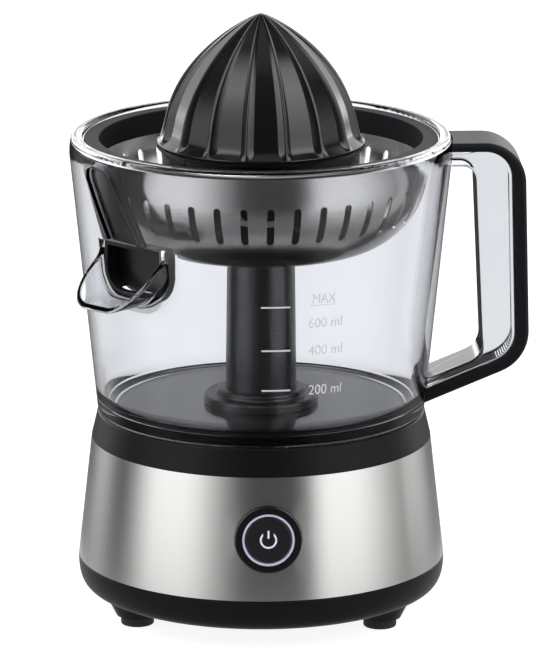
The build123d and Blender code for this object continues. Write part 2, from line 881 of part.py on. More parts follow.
with BuildPart() as motor_end_cap:
    with BuildSketch(Plane.XY.offset(motor_foot_z)):
        with Locations(motor_place):
            Circle(motor_radius)
    extrude(amount=motor_cap_height)
    fillet(motor_end_cap.edges().group_by(Axis.Z)[0], motor_edge)
    with BuildSketch(Plane.XY.offset(motor_cap_z)):
        with Locations(motor_place):
            Circle(motor_cap_boss_radius)
    extrude(amount=motor_cap_boss)
    with BuildSketch(Plane.XY.offset(motor_cap_z + motor_wall)):
        with Locations(motor_place):
            Circle(motor_bush_radius + shaft_gap)
    extrude(amount=motor_cap_height + motor_cap_boss, mode=Mode.SUBTRACT)
motor_end_cap.part.label = "motor_end_cap"
export_step(motor_end_cap.part, "parts/motor_end_cap.step")

with BuildPart() as motor_bushes:
    for level in (motor_cap_z + motor_wall, plate_z - motor_wall):
        with BuildSketch(Plane.XY.offset(level)):
            with Locations(motor_place):
                Circle(motor_bush_radius)
                Circle(rotor_shaft_radius + shaft_gap, mode=Mode.SUBTRACT)
        extrude(amount=motor_bush_length)
motor_bushes.part.label = "motor_bushes"
export_step(motor_bushes.part, "parts/motor_bushes.step")

rotor_z = motor_foot_z + motor_cap_height + (motor_length - motor_cap_height - rotor_length) / 2
rotor_foot_z = motor_cap_z + motor_wall + run_gap
with BuildPart() as rotor_core:
    with BuildSketch(Plane.XY.offset(rotor_z)):
        with Locations(motor_place):
            Circle(rotor_radius)
            Circle(rotor_shaft_radius, mode=Mode.SUBTRACT)
            with PolarLocations(rotor_radius - rotor_slot_depth / 2, rotor_slots):
                Rectangle(2 * rotor_slot_depth, rotor_slot_width, mode=Mode.SUBTRACT)
    extrude(amount=rotor_length)
rotor_core.part.label = "rotor_core"
export_step(rotor_core.part, "parts/rotor_core.step")

with BuildPart() as rotor_shaft:
    with BuildSketch(Plane.XY.offset(rotor_foot_z)):
        with Locations(motor_place):
            Circle(rotor_shaft_radius)
    extrude(amount=first_z + first_face - rotor_foot_z)
rotor_shaft.part.label = "rotor_shaft"
export_step(rotor_shaft.part, "parts/rotor_shaft.step")

half_pinion_pitch = 180 / pinion_teeth
output_mesh_angle = output_bearing_angle + half_pinion_pitch
with BuildPart() as motor_pinion:
    with BuildSketch(Plane.XY.offset(first_z)):
        with Locations(motor_place):
            Polygon(
                *gear_outline(pinion_teeth, first_module, motor_bearing_angle + 180 + half_pinion_pitch),
                align=None,
            )
            Circle(rotor_shaft_radius, mode=Mode.SUBTRACT)
    extrude(amount=first_face)
motor_pinion.part.label = "motor_pinion"
export_step(motor_pinion.part, "parts/motor_pinion.step")

with BuildPart() as motor_screws:
    with BuildSketch(Plane.XY.offset(plate_top_z)):
        with Locations(motor_spots):
            Circle(motor_screw_head_radius)
    extrude(amount=motor_screw_head)
    with BuildSketch(Plane.XY.offset(plate_top_z)):
        with Locations(motor_spots):
            Circle(motor_screw_radius)
    extrude(amount=-plate_thickness - motor_wall)
motor_screws.part.label = "motor_screws"
export_step(motor_screws.part, "parts/motor_screws.step")

# Idler: large wheel driven by the motor, small pinion driving the output gear
with BuildPart() as idler_pin:
    with BuildSketch(Plane.XY.offset(plate_z)):
        with Locations(idler_place):
            Circle(idler_pin_radius)
    extrude(amount=idler_boss_z + idler_pin_seat - plate_z)
idler_pin.part.label = "idler_pin"
export_step(idler_pin.part, "parts/idler_pin.step")

with BuildPart() as idler_gear:
    with BuildSketch(Plane.XY.offset(first_z)):
        with Locations(idler_place):
            Polygon(*gear_outline(wheel_teeth, first_module, motor_bearing_angle), align=None)
    extrude(amount=first_face)
    with BuildSketch(Plane.XY.offset(plate_top_z + idler_foot_gap)):
        with Locations(idler_place):
            Circle(idler_hub_radius)
    extrude(amount=first_z - plate_top_z - idler_foot_gap)
    with BuildSketch(Plane.XY.offset(first_z + first_face)):
        with Locations(idler_place):
            Polygon(*gear_outline(pinion_teeth, second_module, output_mesh_angle), align=None)
    extrude(amount=second_top_z - first_z - first_face)
    with BuildSketch(Plane.XY.offset(second_top_z)):
        with Locations(idler_place):
            Circle(idler_hub_radius)
    extrude(amount=idler_boss_z - idler_foot_gap - second_top_z)
    with BuildSketch(Plane.XY.offset(plate_top_z)):
        with Locations(idler_place):
            Circle(idler_pin_radius + shaft_gap)
    extrude(amount=idler_boss_z - plate_top_z, mode=Mode.SUBTRACT)
idler_gear.part.label = "idler_gear"
export_step(idler_gear.part, "parts/idler_gear.step")

# Output gear on the drive shaft, thinned between hub and rim
output_root = second_module * (wheel_teeth / 2 - gear_dedendum_share)
bush_head_z = plate_top_z + bush_flange
with BuildPart() as output_gear:
    with BuildSketch(Plane.XY.offset(second_z)):
        Polygon(*gear_outline(wheel_teeth, second_module, 90), align=None)
    extrude(amount=second_face)
    with BuildSketch(Plane.XY.offset(second_z + gear_web)):
        Circle(output_root - gear_rim)
        Circle(output_hub_radius, mode=Mode.SUBTRACT)
    extrude(amount=second_face, mode=Mode.SUBTRACT)
    with BuildSketch(Plane.XY.offset(bush_head_z + run_gap)):
        Circle(output_hub_radius)
    extrude(amount=hub_head_z - bush_head_z - run_gap)
    with BuildSketch(Plane.XY.offset(plate_top_z)):
        Circle(shaft_radius)
    extrude(amount=hub_head_z - plate_top_z + overrun, mode=Mode.SUBTRACT)
output_gear.part.label = "output_gear"
export_step(output_gear.part, "parts/output_gear.step")

with BuildPart() as lower_bush:
    with BuildSketch(Plane.XY.offset(plate_z)):
        Circle(bush_radius)
    extrude(amount=plate_thickness)
    with BuildSketch(Plane.XY.offset(plate_top_z)):
        Circle(bush_flange_radius)
    extrude(amount=bush_flange)
    with BuildSketch(Plane.XY.offset(plate_z)):
        Circle(shaft_radius + shaft_gap)
    extrude(amount=plate_thickness + bush_flange + overrun, mode=Mode.SUBTRACT)
lower_bush.part.label = "lower_bush"
export_step(lower_bush.part, "parts/lower_bush.step")

# Drive shaft with two flats at its head and a groove for the circlip
with BuildPart() as drive_shaft:
    with BuildSketch(Plane.XY.offset(plate_z)):
        Circle(shaft_radius)
    extrude(amount=shaft_top_z - plate_z)
    chamfer(drive_shaft.edges().group_by(Axis.Z)[-1], shaft_point)
    with BuildSketch(Plane.XY.offset(shaft_top_z)):
        Circle(shaft_radius + overrun)
        Rectangle(shaft_flat, 2 * (shaft_radius + overrun), mode=Mode.SUBTRACT)
    extrude(amount=-shaft_flat_length, mode=Mode.SUBTRACT)
    with BuildSketch(Plane.XY.offset(hub_head_z)):
        Circle(shaft_radius + overrun)
        Circle(shaft_radius - circlip_groove, mode=Mode.SUBTRACT)
    extrude(amount=circlip_thickness, mode=Mode.SUBTRACT)
drive_shaft.part.label = "drive_shaft"
export_step(drive_shaft.part, "parts/drive_shaft.step")

with BuildPart() as shaft_circlip:
    with BuildSketch(Plane.XY.offset(hub_head_z)):
        Circle(circlip_radius)
        Circle(shaft_radius - circlip_groove, mode=Mode.SUBTRACT)
        with Locations((0, -circlip_radius)):
            Rectangle(shaft_radius, circlip_radius, mode=Mode.SUBTRACT)
    extrude(amount=circlip_thickness)
shaft_circlip.part.label = "shaft_circlip"
export_step(shaft_circlip.part, "parts/shaft_circlip.step")

# Drive tower: the tube that carries the shaft up into the jug's column
tower_foot_z = pit_under_z - tower_flange
with BuildPart() as drive_tower:
    with BuildSketch(Plane.XY.offset(tower_foot_z)):
        Circle(tower_flange_radius)
    extrude(amount=tower_flange)
    with BuildSketch(Plane.XY.offset(tower_foot_z)):
        Circle(tower_radius)
    extrude(amount=tower_top_z - tower_foot_z)
    fillet(drive_tower.edges().group_by(Axis.Z)[-1], column_round)
    with BuildSketch(Plane.XY.offset(tower_foot_z)):
        Circle(tower_bore_radius)
        with PolarLocations(tower_screw_circle, tower_screw_count):
            Circle(tower_screw_radius + seat_gap)
    extrude(amount=tower_top_z - tower_foot_z + overrun, mode=Mode.SUBTRACT)
drive_tower.part.label = "drive_tower"
export_step(drive_tower.part, "parts/drive_tower.step")

with BuildPart() as tower_screws:
    with BuildSketch(Plane.XY.offset(tower_foot_z)):
        with PolarLocations(tower_screw_circle, tower_screw_count):
            Circle(tower_screw_head_radius)
    extrude(amount=-tower_screw_head)
    with BuildSketch(Plane.XY.offset(tower_foot_z)):
        with PolarLocations(tower_screw_circle, tower_screw_count):
            Circle(tower_screw_radius)
    extrude(amount=tower_screw_length)
tower_screws.part.label = "tower_screws"
export_step(tower_screws.part, "parts/tower_screws.step")

tower_bush_head_z = tower_top_z - seal_thickness
with BuildPart() as tower_bushes:
    for level in (tower_foot_z, tower_bush_head_z - tower_bush_length):
        with BuildSketch(Plane.XY.offset(level)):
            Circle(tower_bore_radius - shaft_gap)
            Circle(shaft_radius + shaft_gap, mode=Mode.SUBTRACT)
        extrude(amount=tower_bush_length)
tower_bushes.part.label = "tower_bushes"
export_step(tower_bushes.part, "parts/tower_bushes.step")

with BuildPart() as shaft_seal:
    with BuildSketch(Plane.XY.offset(tower_bush_head_z)):
        Circle(tower_bore_radius - shaft_gap)
        Circle(shaft_radius + shaft_gap, mode=Mode.SUBTRACT)
    extrude(amount=seal_thickness)
shaft_seal.part.label = "shaft_seal"
export_step(shaft_seal.part, "parts/shaft_seal.step")

# Directions of the scoop: outward, and sideways as seen from outside
outward = Vector(cos(radians(scoop_angle)), sin(radians(scoop_angle)), 0)
sideways = Vector(-outward.Y, outward.X, 0)
scoop_plane = Plane(origin=(0, 0, 0), x_dir=sideways, z_dir=outward)
side_plane = Plane(origin=(0, 0, 0), x_dir=outward, z_dir=-sideways)
scoop_root_radius = jug_radius(scoop_root_z) - scoop_root_sink
scoop_tip_radius = scoop_root_radius + scoop_reach
scoop_tip_z = scoop_root_z - scoop_drop
throat_half_width = scoop_half_width - scoop_wall
throat_bottom_z = scoop_bottom_z + scoop_wall
throat_corner = scoop_corner - scoop_wall
shoulder_z = rim_z - jug_shoulder_drop
floor_z = seat_z + jug_foot_lift
floor_top_z = floor_z + jug_floor
rim_radius = jug_shoulder_radius - rim_turn_in
rim_inner_radius = rim_radius - rim_width

# Outer body of the scoop: a trough that reaches through the wall
trough_top_z = scoop_root_z + overrun
with BuildPart() as scoop_body:
    with BuildSketch(scoop_plane.offset(scoop_root_radius - jug_wall - overrun)) as trough:
        with Locations((0, (scoop_bottom_z + trough_top_z) / 2)):
            Rectangle(2 * scoop_half_width, trough_top_z - scoop_bottom_z)
        fillet(trough.vertices().group_by(Axis.Y)[0], scoop_corner)
    extrude(amount=scoop_reach + jug_wall + overrun)

# Wedge that cuts the trough off at its sloping lip, clear of the wall
lip_slope = scoop_drop / scoop_reach
lip_cut_z = trough_top_z + overrun
with BuildPart() as lip_cut:
    with BuildSketch(side_plane):
        with BuildLine():
            Polyline(
                (scoop_root_radius, scoop_root_z),
                (scoop_tip_radius + overrun, scoop_tip_z - overrun * lip_slope),
                (scoop_tip_radius + overrun, lip_cut_z),
                (scoop_root_radius, lip_cut_z),
                close=True,
            )
        make_face()
    extrude(amount=scoop_half_width + scoop_root_round + overrun, both=True)
    with BuildSketch(Plane.XZ):
        with BuildLine():
            Polyline(
                (0, seat_z),
                (jug_foot_radius, seat_z),
                (jug_radius(lip_cut_z + overrun), lip_cut_z + overrun),
                (0, lip_cut_z + overrun),
                close=True,
            )
        make_face()
    revolve(axis=Axis.Z, mode=Mode.SUBTRACT)


# Whether an edge runs along the outside of the jug's wall at the scoop
def at_scoop_root(edge):
    middle = edge.center()
    off_wall = sqrt(middle.X**2 + middle.Y**2) - jug_radius(middle.Z)
    return abs(off_wall) < scoop_wall / 2 and scoop_bottom_z - overrun < middle.Z < scoop_root_z


# Whether an edge lies in the sloping plane of the scoop's lip
def on_scoop_lip(edge):
    middle = edge.center()
    reach = middle.X * outward.X + middle.Y * outward.Y - scoop_root_radius
    return abs(scoop_root_z - reach * lip_slope - middle.Z) < shaft_gap and reach > jug_wall


# Leaning recess: a slanted strip of the wall, a little deep
recess_top_z = opening_top_z + recess_height
with BuildPart() as recess_cut:
    with BuildSketch(scoop_plane.offset(jug_foot_radius - overrun)) as strip:
        with BuildLine():
            Polyline(
                (recess_foot_x - recess_width / 2, opening_top_z - recess_edge),
                (recess_foot_x + recess_width / 2, opening_top_z - recess_edge),
                (recess_foot_x - recess_lean + recess_width / 2, recess_top_z),
                (recess_foot_x - recess_lean - recess_width / 2, recess_top_z),
                close=True,
            )
        make_face()
        fillet(strip.vertices().group_by(Axis.Y)[-1], recess_round)
    extrude(amount=jug_shoulder_radius - jug_foot_radius + 2 * overrun)
    with BuildSketch(Plane.XZ):
        with BuildLine():
            Polyline(
                (0, seat_z),
                (jug_foot_radius - recess_depth, seat_z),
                (jug_shoulder_radius - recess_depth, shoulder_z),
                (jug_shoulder_radius - recess_depth, rim_z),
                (0, rim_z),
                close=True,
            )
        make_face()
    revolve(axis=Axis.Z, mode=Mode.SUBTRACT)

# Jug: wall, rim, floor, scoop and opening in one clear piece
with BuildPart() as jug:
    with BuildSketch(Plane.XZ):
        with BuildLine():
            Polyline(
                (0, floor_z),
                (jug_foot_radius - jug_foot_width, floor_z),
                (jug_foot_radius - jug_foot_width, seat_z),
                (jug_foot_radius, seat_z),
                (jug_shoulder_radius, shoulder_z),
            )
            TangentArc((jug_shoulder_radius, shoulder_z), (rim_radius, rim_z), tangent=(
                jug_shoulder_radius - jug_foot_radius, shoulder_z - seat_z))
            Polyline((rim_radius, rim_z), (0, rim_z), (0, floor_z))
        make_face()
    revolve(axis=Axis.Z)
    add(scoop_body.part)
    fillet(jug.edges().filter_by(at_scoop_root), scoop_root_round)
    add(lip_cut.part, mode=Mode.SUBTRACT)
    with BuildSketch(Plane.XZ):
        with BuildLine():
            Polyline(
                (0, floor_top_z),
                (jug_radius(floor_top_z) - jug_wall, floor_top_z),
                (jug_radius(rim_z - rim_lip - rim_slope) - jug_wall, rim_z - rim_lip - rim_slope),
                (rim_inner_radius, rim_z - rim_lip),
                (rim_inner_radius, rim_z + overrun),
                (0, rim_z + overrun),
                close=True,
            )
        make_face()
    revolve(axis=Axis.Z, mode=Mode.SUBTRACT)
    with BuildSketch(scoop_plane.offset(jug_foot_radius - jug_wall - overrun)) as throat:
        with Locations((0, (throat_bottom_z + opening_top_z) / 2)):
            Rectangle(2 * throat_half_width, opening_top_z - throat_bottom_z)
        fillet(throat.vertices().group_by(Axis.Y)[0], throat_corner)
    extrude(amount=scoop_reach + jug_wall + 4 * overrun, mode=Mode.SUBTRACT)
    add(recess_cut.part, mode=Mode.SUBTRACT)
    with BuildSketch(Plane.XY.offset(seat_z)):
        Circle(neck_radius + seat_gap)
    extrude(amount=floor_top_z - seat_z + overrun, mode=Mode.SUBTRACT)
    fillet(jug.edges().filter_by(GeomType.CIRCLE).group_by(Axis.Z)[-1], rim_round)
    jug_rings = jug.edges().filter_by(GeomType.CIRCLE)
    foot_ring = jug_rings.group_by(Axis.Z)[0].sort_by(SortBy.RADIUS)[-1]
    fillet(foot_ring, jug_foot_round)
    floor_rings = jug_rings.filter_by(lambda e: abs(e.center().Z - floor_top_z) < shaft_gap)
    fillet(floor_rings.sort_by(SortBy.RADIUS)[-1], jug_floor_round)
    fillet(jug.edges().filter_by(on_scoop_lip), scoop_lip_round)
jug.part.label = "jug"
export_step(jug.part, "parts/jug.step")

# Panel behind the recess, bent to the inside of the jug
guard_back_radius = scoop_root_radius - guard_depth
panel_foot_z = opening_top_z - seat_gap - guard_wall
panel_top_z = rim_z - rim_lip - rim_slope - seat_gap
with BuildPart() as guard_panel:
    with BuildSketch(Plane.XZ):
        with BuildLine():
            Polyline(
                (jug_radius(panel_foot_z) - jug_wall - seat_gap - guard_wall, panel_foot_z),
                (jug_radius(panel_foot_z) - jug_wall - seat_gap, panel_foot_z),
                (jug_radius(panel_top_z) - jug_wall - seat_gap, panel_top_z),
                (jug_radius(panel_top_z) - jug_wall - seat_gap - guard_wall, panel_top_z),
                close=True,
            )
        make_face()
    revolve(axis=Axis.Z)
    with BuildSketch(scoop_plane.offset(guard_back_radius - overrun)):
        with BuildLine():
            Polyline(
                (recess_foot_x - recess_width / 2 - guard_margin, panel_foot_z - overrun),
                (recess_foot_x + recess_width / 2 + guard_margin, panel_foot_z - overrun),
                (recess_foot_x - recess_lean + recess_width / 2 + guard_margin, panel_top_z + overrun),
                (recess_foot_x - recess_lean - recess_width / 2 - guard_margin, panel_top_z + overrun),
                close=True,
            )
        make_face()
    extrude(amount=jug_shoulder_radius - guard_back_radius + 2 * overrun, mode=Mode.INTERSECT)

# Spout guard: throat and back plate, with the panel
with BuildPart() as spout_guard:
    with BuildSketch(scoop_plane.offset(guard_back_radius)) as guard_tube:
        with Locations((0, (throat_bottom_z + opening_top_z) / 2)):
            Rectangle(
                2 * (throat_half_width - seat_gap), opening_top_z - throat_bottom_z - 2 * seat_gap)
        fillet(guard_tube.vertices().group_by(Axis.Y)[0], throat_corner - seat_gap)
    extrude(amount=scoop_root_radius + guard_proud - guard_back_radius)
    with BuildSketch(scoop_plane.offset(guard_back_radius + guard_wall)) as guard_bore:
        with Locations((0, (throat_bottom_z + opening_top_z) / 2)):
            Rectangle(
                2 * (throat_half_width - seat_gap - guard_wall),
                opening_top_z - throat_bottom_z - 2 * (seat_gap + guard_wall),
            )
        fillet(guard_bore.vertices().group_by(Axis.Y)[0], throat_corner - seat_gap - guard_wall)
    extrude(amount=scoop_reach, mode=Mode.SUBTRACT)
    with BuildSketch(scoop_plane.offset(guard_back_radius + guard_wall)):
        with Locations((0, guard_inlet_z - overrun)):
            Rectangle(2 * (throat_half_width - throat_corner / 2), 2 * overrun)
    extrude(amount=guard_inlet, mode=Mode.SUBTRACT)
    add(guard_panel.part)
spout_guard.part.label = "spout_guard"
export_step(spout_guard.part, "parts/spout_guard.step")

# Handle outline in the XZ plane, set in from its outside on the top, the side and the arm
handle_top_x = jug_shoulder_radius + handle_top_reach
handle_low_x = jug_shoulder_radius + handle_low_reach
handle_root_x = jug_foot_radius - handle_root_sink
arm_slope = (handle_low_z - handle_root_low_z) / (handle_low_x - handle_root_x)
arm_stretch = sqrt(1 + arm_slope**2)


def handle_outline(top, side_top, side_low, arm):
    top_z = handle_top_z - top
    high_x = handle_top_x - side_top
    low_x = handle_low_x - side_low
    side_slope = (low_x - high_x) / (handle_top_z - handle_low_z)
    root_z = handle_root_low_z + arm * arm_stretch
    # where the leaning side meets the rising arm
    rise = root_z + (low_x - handle_root_x) * arm_slope - handle_low_z
    corner_x = low_x - rise * side_slope / (1 + side_slope * arm_slope)
    return [
        (handle_root_x, top_z),
        (high_x + top * side_slope, top_z),
        (corner_x, root_z + (corner_x - handle_root_x) * arm_slope),
        (handle_root_x, root_z),
    ]


# Solid of the jug's outside, to trim the handle roots
with BuildPart() as jug_outside:
    with BuildSketch(Plane.XZ):
        with BuildLine():
            Polyline(
                (0, seat_z - overrun),
                (jug_foot_radius + seat_gap, seat_z - overrun),
                (jug_foot_radius + seat_gap, seat_z),
                (jug_shoulder_radius + seat_gap, shoulder_z),
                (jug_shoulder_radius + seat_gap, rim_z + overrun),
                (0, rim_z + overrun),
                close=True,
            )
        make_face()
    revolve(axis=Axis.Z)

# Clear handle frame
with BuildPart() as jug_handle:
    with BuildSketch(Plane.XZ) as frame_outer:
        Polygon(*handle_outline(grip_top, grip_side, grip_side, grip_arm), align=None)
        fillet(frame_outer.vertices().sort_by(Axis.X)[-2:].sort_by(Axis.Y)[-1], grip_round_top)
        fillet(frame_outer.vertices().sort_by(Axis.X)[-1], grip_round_low)
    extrude(amount=frame_width / 2, both=True)
    with BuildSketch(Plane.XZ) as frame_inner:
        Polygon(*handle_outline(frame_top, frame_side_top, frame_side_low, frame_arm), align=None)
        fillet(frame_inner.vertices().sort_by(Axis.X)[-2:].sort_by(Axis.Y)[-1], frame_round_top)
        fillet(frame_inner.vertices().sort_by(Axis.X)[-1], frame_round_low)
    extrude(amount=frame_width, both=True, mode=Mode.SUBTRACT)
    side_edges = jug_handle.faces().filter_by(Axis.Y).edges()
    fillet(side_edges.filter_by(lambda e: e.center().X > handle_root_x + overrun), frame_edge)
    add(jug_outside.part, mode=Mode.SUBTRACT)
jug_handle.part.label = "jug_handle"
export_step(jug_handle.part, "parts/jug_handle.step")

# Black grip strip round the outside of the frame
with BuildPart() as handle_grip:
    with BuildSketch(Plane.XZ) as grip_outer:
        Polygon(*handle_outline(0, 0, 0, 0), align=None)
        fillet(grip_outer.vertices().sort_by(Axis.X)[-2:].sort_by(Axis.Y)[-1], handle_round_top)
        fillet(grip_outer.vertices().sort_by(Axis.X)[-1], handle_round_low)
    extrude(amount=grip_width / 2, both=True)
    with BuildSketch(Plane.XZ) as grip_inner:
        Polygon(*handle_outline(grip_top, grip_side, grip_side, grip_arm), align=None)
        fillet(grip_inner.vertices().sort_by(Axis.X)[-2:].sort_by(Axis.Y)[-1], grip_round_top)
        fillet(grip_inner.vertices().sort_by(Axis.X)[-1], grip_round_low)
    extrude(amount=grip_width, both=True, mode=Mode.SUBTRACT)
    grip_edges = handle_grip.faces().filter_by(Axis.Y).edges()
    fillet(grip_edges.filter_by(lambda e: e.center().X > handle_root_x + overrun), grip_edge)
    add(jug_outside.part, mode=Mode.SUBTRACT)
handle_grip.part.label = "handle_grip"
export_step(handle_grip.part, "parts/handle_grip.step")

# Centre column with its stepped flange and threaded neck
flange_top_z = floor_top_z + column_flange
step_top_z = flange_top_z + column_step
with BuildPart() as centre_column:
    with BuildSketch(Plane.XZ):
        with BuildLine():
            Polyline(
                (column_bore_radius, floor_top_z - neck_drop),
                (neck_radius, floor_top_z - neck_drop),
                (neck_radius, floor_top_z),
                (column_flange_radius, floor_top_z),
                (column_flange_radius, flange_top_z),
                (column_step_radius, flange_top_z),
                (column_step_radius, step_top_z),
                (column_foot_radius, step_top_z),
                (column_top_radius, column_top_z),
                (column_bore_radius, column_top_z),
                close=True,
            )
        make_face()
    revolve(axis=Axis.Z)
    rings = centre_column.edges().filter_by(GeomType.CIRCLE)
    round_rings = [e for e in rings if e.radius in (column_flange_radius, column_step_radius)]
    fillet([e for e in round_rings if e.center().Z > floor_top_z + seat_gap], column_round)
    with BuildSketch(Plane.XY.offset(floor_top_z)):
        Circle(seal_outer_radius + seat_gap)
        Circle(seal_inner_radius - seat_gap, mode=Mode.SUBTRACT)
    extrude(amount=seal_height, mode=Mode.SUBTRACT)
centre_column.part.label = "centre_column"
export_step(centre_column.part, "parts/centre_column.step")

with BuildPart() as column_seal:
    with BuildSketch(Plane.XY.offset(floor_top_z)):
        Circle(seal_outer_radius)
        Circle(seal_inner_radius, mode=Mode.SUBTRACT)
    extrude(amount=seal_height)
column_seal.part.label = "column_seal"
export_step(column_seal.part, "parts/column_seal.step")

# Ring nut under the jug floor
with BuildPart() as column_nut:
    with BuildSketch(Plane.XY.offset(floor_z)):
        Circle(nut_radius)
        Circle(neck_radius + shaft_gap, mode=Mode.SUBTRACT)
        with PolarLocations(nut_radius, nut_notch_count):
            Rectangle(nut_notch, nut_notch, mode=Mode.SUBTRACT)
    extrude(amount=-nut_height)
column_nut.part.label = "column_nut"
export_step(column_nut.part, "parts/column_nut.step")

# Strainer ring round the mouth of the bowl
bowl_radius = rim_inner_radius - bowl_gap
ring_skirt_radius = bowl_radius - bowl_sheet - seat_gap
with BuildPart() as strainer_ring:
    with BuildSketch(Plane.XZ):
        with BuildLine():
            Polyline(
                (ring_skirt_radius - ring_skirt_wall, ring_under_z - ring_skirt),
                (ring_skirt_radius, ring_under_z - ring_skirt),
                (ring_skirt_radius, ring_under_z),
                (rim_inner_radius - ring_flange_gap, ring_under_z),
                (rim_inner_radius - ring_flange_gap, ring_top_z),
                (ring_skirt_radius - ring_skirt_wall, ring_top_z),
                close=True,
            )
        make_face()
    revolve(axis=Axis.Z)
    fillet(strainer_ring.edges().group_by(Axis.Z)[-1], ring_edge)
strainer_ring.part.label = "strainer_ring"
export_step(strainer_ring.part, "parts/strainer_ring.step")

# Slot cutter, repeated round the bowl
with BuildPart() as slot_cutter:
    with BuildSketch(Plane.YZ.offset(bowl_floor_radius)):
        with Locations((0, (slot_low_z + slot_high_z) / 2)):
            SlotOverall(slot_high_z - slot_low_z, slot_width, rotation=90)
    extrude(amount=bowl_radius - bowl_floor_radius + overrun)

# Steel strainer bowl
bowl_turn_z = ring_under_z - bowl_side_drop
bowl_reach = bowl_radius - bowl_floor_radius
bowl_fall = bowl_turn_z - bowl_floor_z
with BuildPart() as strainer_bowl:
    with BuildSketch(Plane.XZ):
        with BuildLine():
            Line((bowl_radius, ring_under_z), (bowl_radius, bowl_turn_z))
            Bezier(
                (bowl_radius, bowl_turn_z),
                (bowl_radius, bowl_turn_z - bowl_curve_share * bowl_fall),
                (bowl_floor_radius + bowl_curve_share * bowl_reach, bowl_floor_z),
                (bowl_floor_radius, bowl_floor_z),
            )
            Polyline(
                (bowl_floor_radius, bowl_floor_z),
                (bowl_hole_radius, bowl_floor_z),
                (bowl_hole_radius, bowl_floor_z + bowl_sheet),
                (bowl_floor_radius, bowl_floor_z + bowl_sheet),
            )
            Bezier(
                (bowl_floor_radius, bowl_floor_z + bowl_sheet),
                (bowl_floor_radius + bowl_curve_share * (bowl_reach - bowl_sheet), bowl_floor_z + bowl_sheet),
                (bowl_radius - bowl_sheet, bowl_turn_z - bowl_curve_share * (bowl_fall - bowl_sheet)),
                (bowl_radius - bowl_sheet, bowl_turn_z),
            )
            Polyline(
                (bowl_radius - bowl_sheet, bowl_turn_z),
                (bowl_radius - bowl_sheet, ring_under_z),
                (bowl_radius, ring_under_z),
            )
        make_face()
    revolve(axis=Axis.Z)
    with PolarLocations(0, slot_count, start_angle=slot_first_angle):
        add(slot_cutter.part, mode=Mode.SUBTRACT)
strainer_bowl.part.label = "strainer_bowl"
export_step(strainer_bowl.part, "parts/strainer_bowl.step")

# Strainer hub, moulded round the hole of the bowl and seated on the column
hub_upper_z = bowl_floor_z + bowl_sheet + hub_upper
hub_top_z = hub_upper_z + hub_rise
with BuildPart() as strainer_hub:
    with BuildSketch(Plane.XZ):
        with BuildLine():
            Polyline(
                (hub_bore_radius, column_top_z - hub_spigot),
                (column_bore_radius - run_gap, column_top_z - hub_spigot),
                (column_bore_radius - run_gap, column_top_z),
                (hub_flange_radius, column_top_z),
                (hub_flange_radius, bowl_floor_z),
                (bowl_hole_radius - shaft_gap, bowl_floor_z),
                (bowl_hole_radius - shaft_gap, bowl_floor_z + bowl_sheet),
                (hub_flange_radius, bowl_floor_z + bowl_sheet),
                (hub_flange_radius, hub_upper_z),
                (hub_top_radius, hub_top_z),
                (hub_bore_radius, hub_top_z),
                close=True,
            )
        make_face()
    revolve(axis=Axis.Z)
    hub_rings = strainer_hub.edges().filter_by(GeomType.CIRCLE)
    fillet(hub_rings.filter_by(lambda e: abs(e.center().Z - hub_upper_z) < shaft_gap), hub_round)
strainer_hub.part.label = "strainer_hub"
export_step(strainer_hub.part, "parts/strainer_hub.step")

# Thrust washer between the hub and the reamer
washer_top_z = hub_top_z + washer_thickness
with BuildPart() as thrust_washer:
    with BuildSketch(Plane.XY.offset(hub_top_z)):
        Circle(washer_radius)
        Circle(hub_bore_radius, mode=Mode.SUBTRACT)
    extrude(amount=washer_thickness)
thrust_washer.part.label = "thrust_washer"
export_step(thrust_washer.part, "parts/thrust_washer.step")

# Reamer: fluted cone on a stem, hollow between the two
stem_foot_z = washer_top_z
socket_top_z = shaft_top_z + socket_roof
with BuildPart() as reamer:
    for share in cone_section_shares:
        level = cone_base_z + cone_height * share
        with BuildSketch(Plane.XY.offset(level)):
            Polygon(*flute_outline(reamer_radius(level)), align=None)
    with BuildSketch(Plane.XY.offset(cone_tip_z)):
        Polygon(*flute_outline(cone_tip_radius), align=None)
    loft()
    with BuildSketch(Plane.XZ):
        with BuildLine():
            Polyline(
                (0, cone_base_z - cone_skirt),
                (cone_skirt_radius, cone_base_z - cone_skirt),
                (cone_skirt_radius, cone_base_z),
                (cone_rim_radius, cone_base_z),
                (cone_rim_radius, cone_base_z + cone_rim),
                (0, cone_base_z + cone_rim),
                close=True,
            )
        make_face()
    revolve(axis=Axis.Z)
    rim_rings = reamer.edges().filter_by(GeomType.CIRCLE).sort_by(SortBy.RADIUS)[-2:]
    fillet(rim_rings, cone_rim_round)
    with BuildSketch(Plane.XZ):
        with BuildLine():
            cavity = Spline(
                *[
                    (
                        reamer_radius(cone_base_z + cone_height * share) * (1 - flute_depth_share)
                        - cone_wall,
                        cone_base_z + cone_height * share - cone_wall,
                    )
                    for share in cone_cavity_shares
                ]
            )
            Polyline(
                cavity @ 1,
                (stem_radius, (cavity @ 1).Y),
                (stem_radius, cone_base_z - cone_skirt - overrun),
                ((cavity @ 0).X, cone_base_z - cone_skirt - overrun),
                cavity @ 0,
            )
        make_face()
    revolve(axis=Axis.Z, mode=Mode.SUBTRACT)
    with BuildSketch(Plane.XY.offset(stem_foot_z)):
        Circle(stem_radius)
    extrude(amount=cone_base_z - stem_foot_z)
    with BuildSketch(Plane.XY.offset(stem_foot_z)):
        Circle(socket_radius + seat_gap)
    extrude(amount=socket_top_z - stem_foot_z, mode=Mode.SUBTRACT)
reamer.part.label = "reamer"
export_step(reamer.part, "parts/reamer.step")

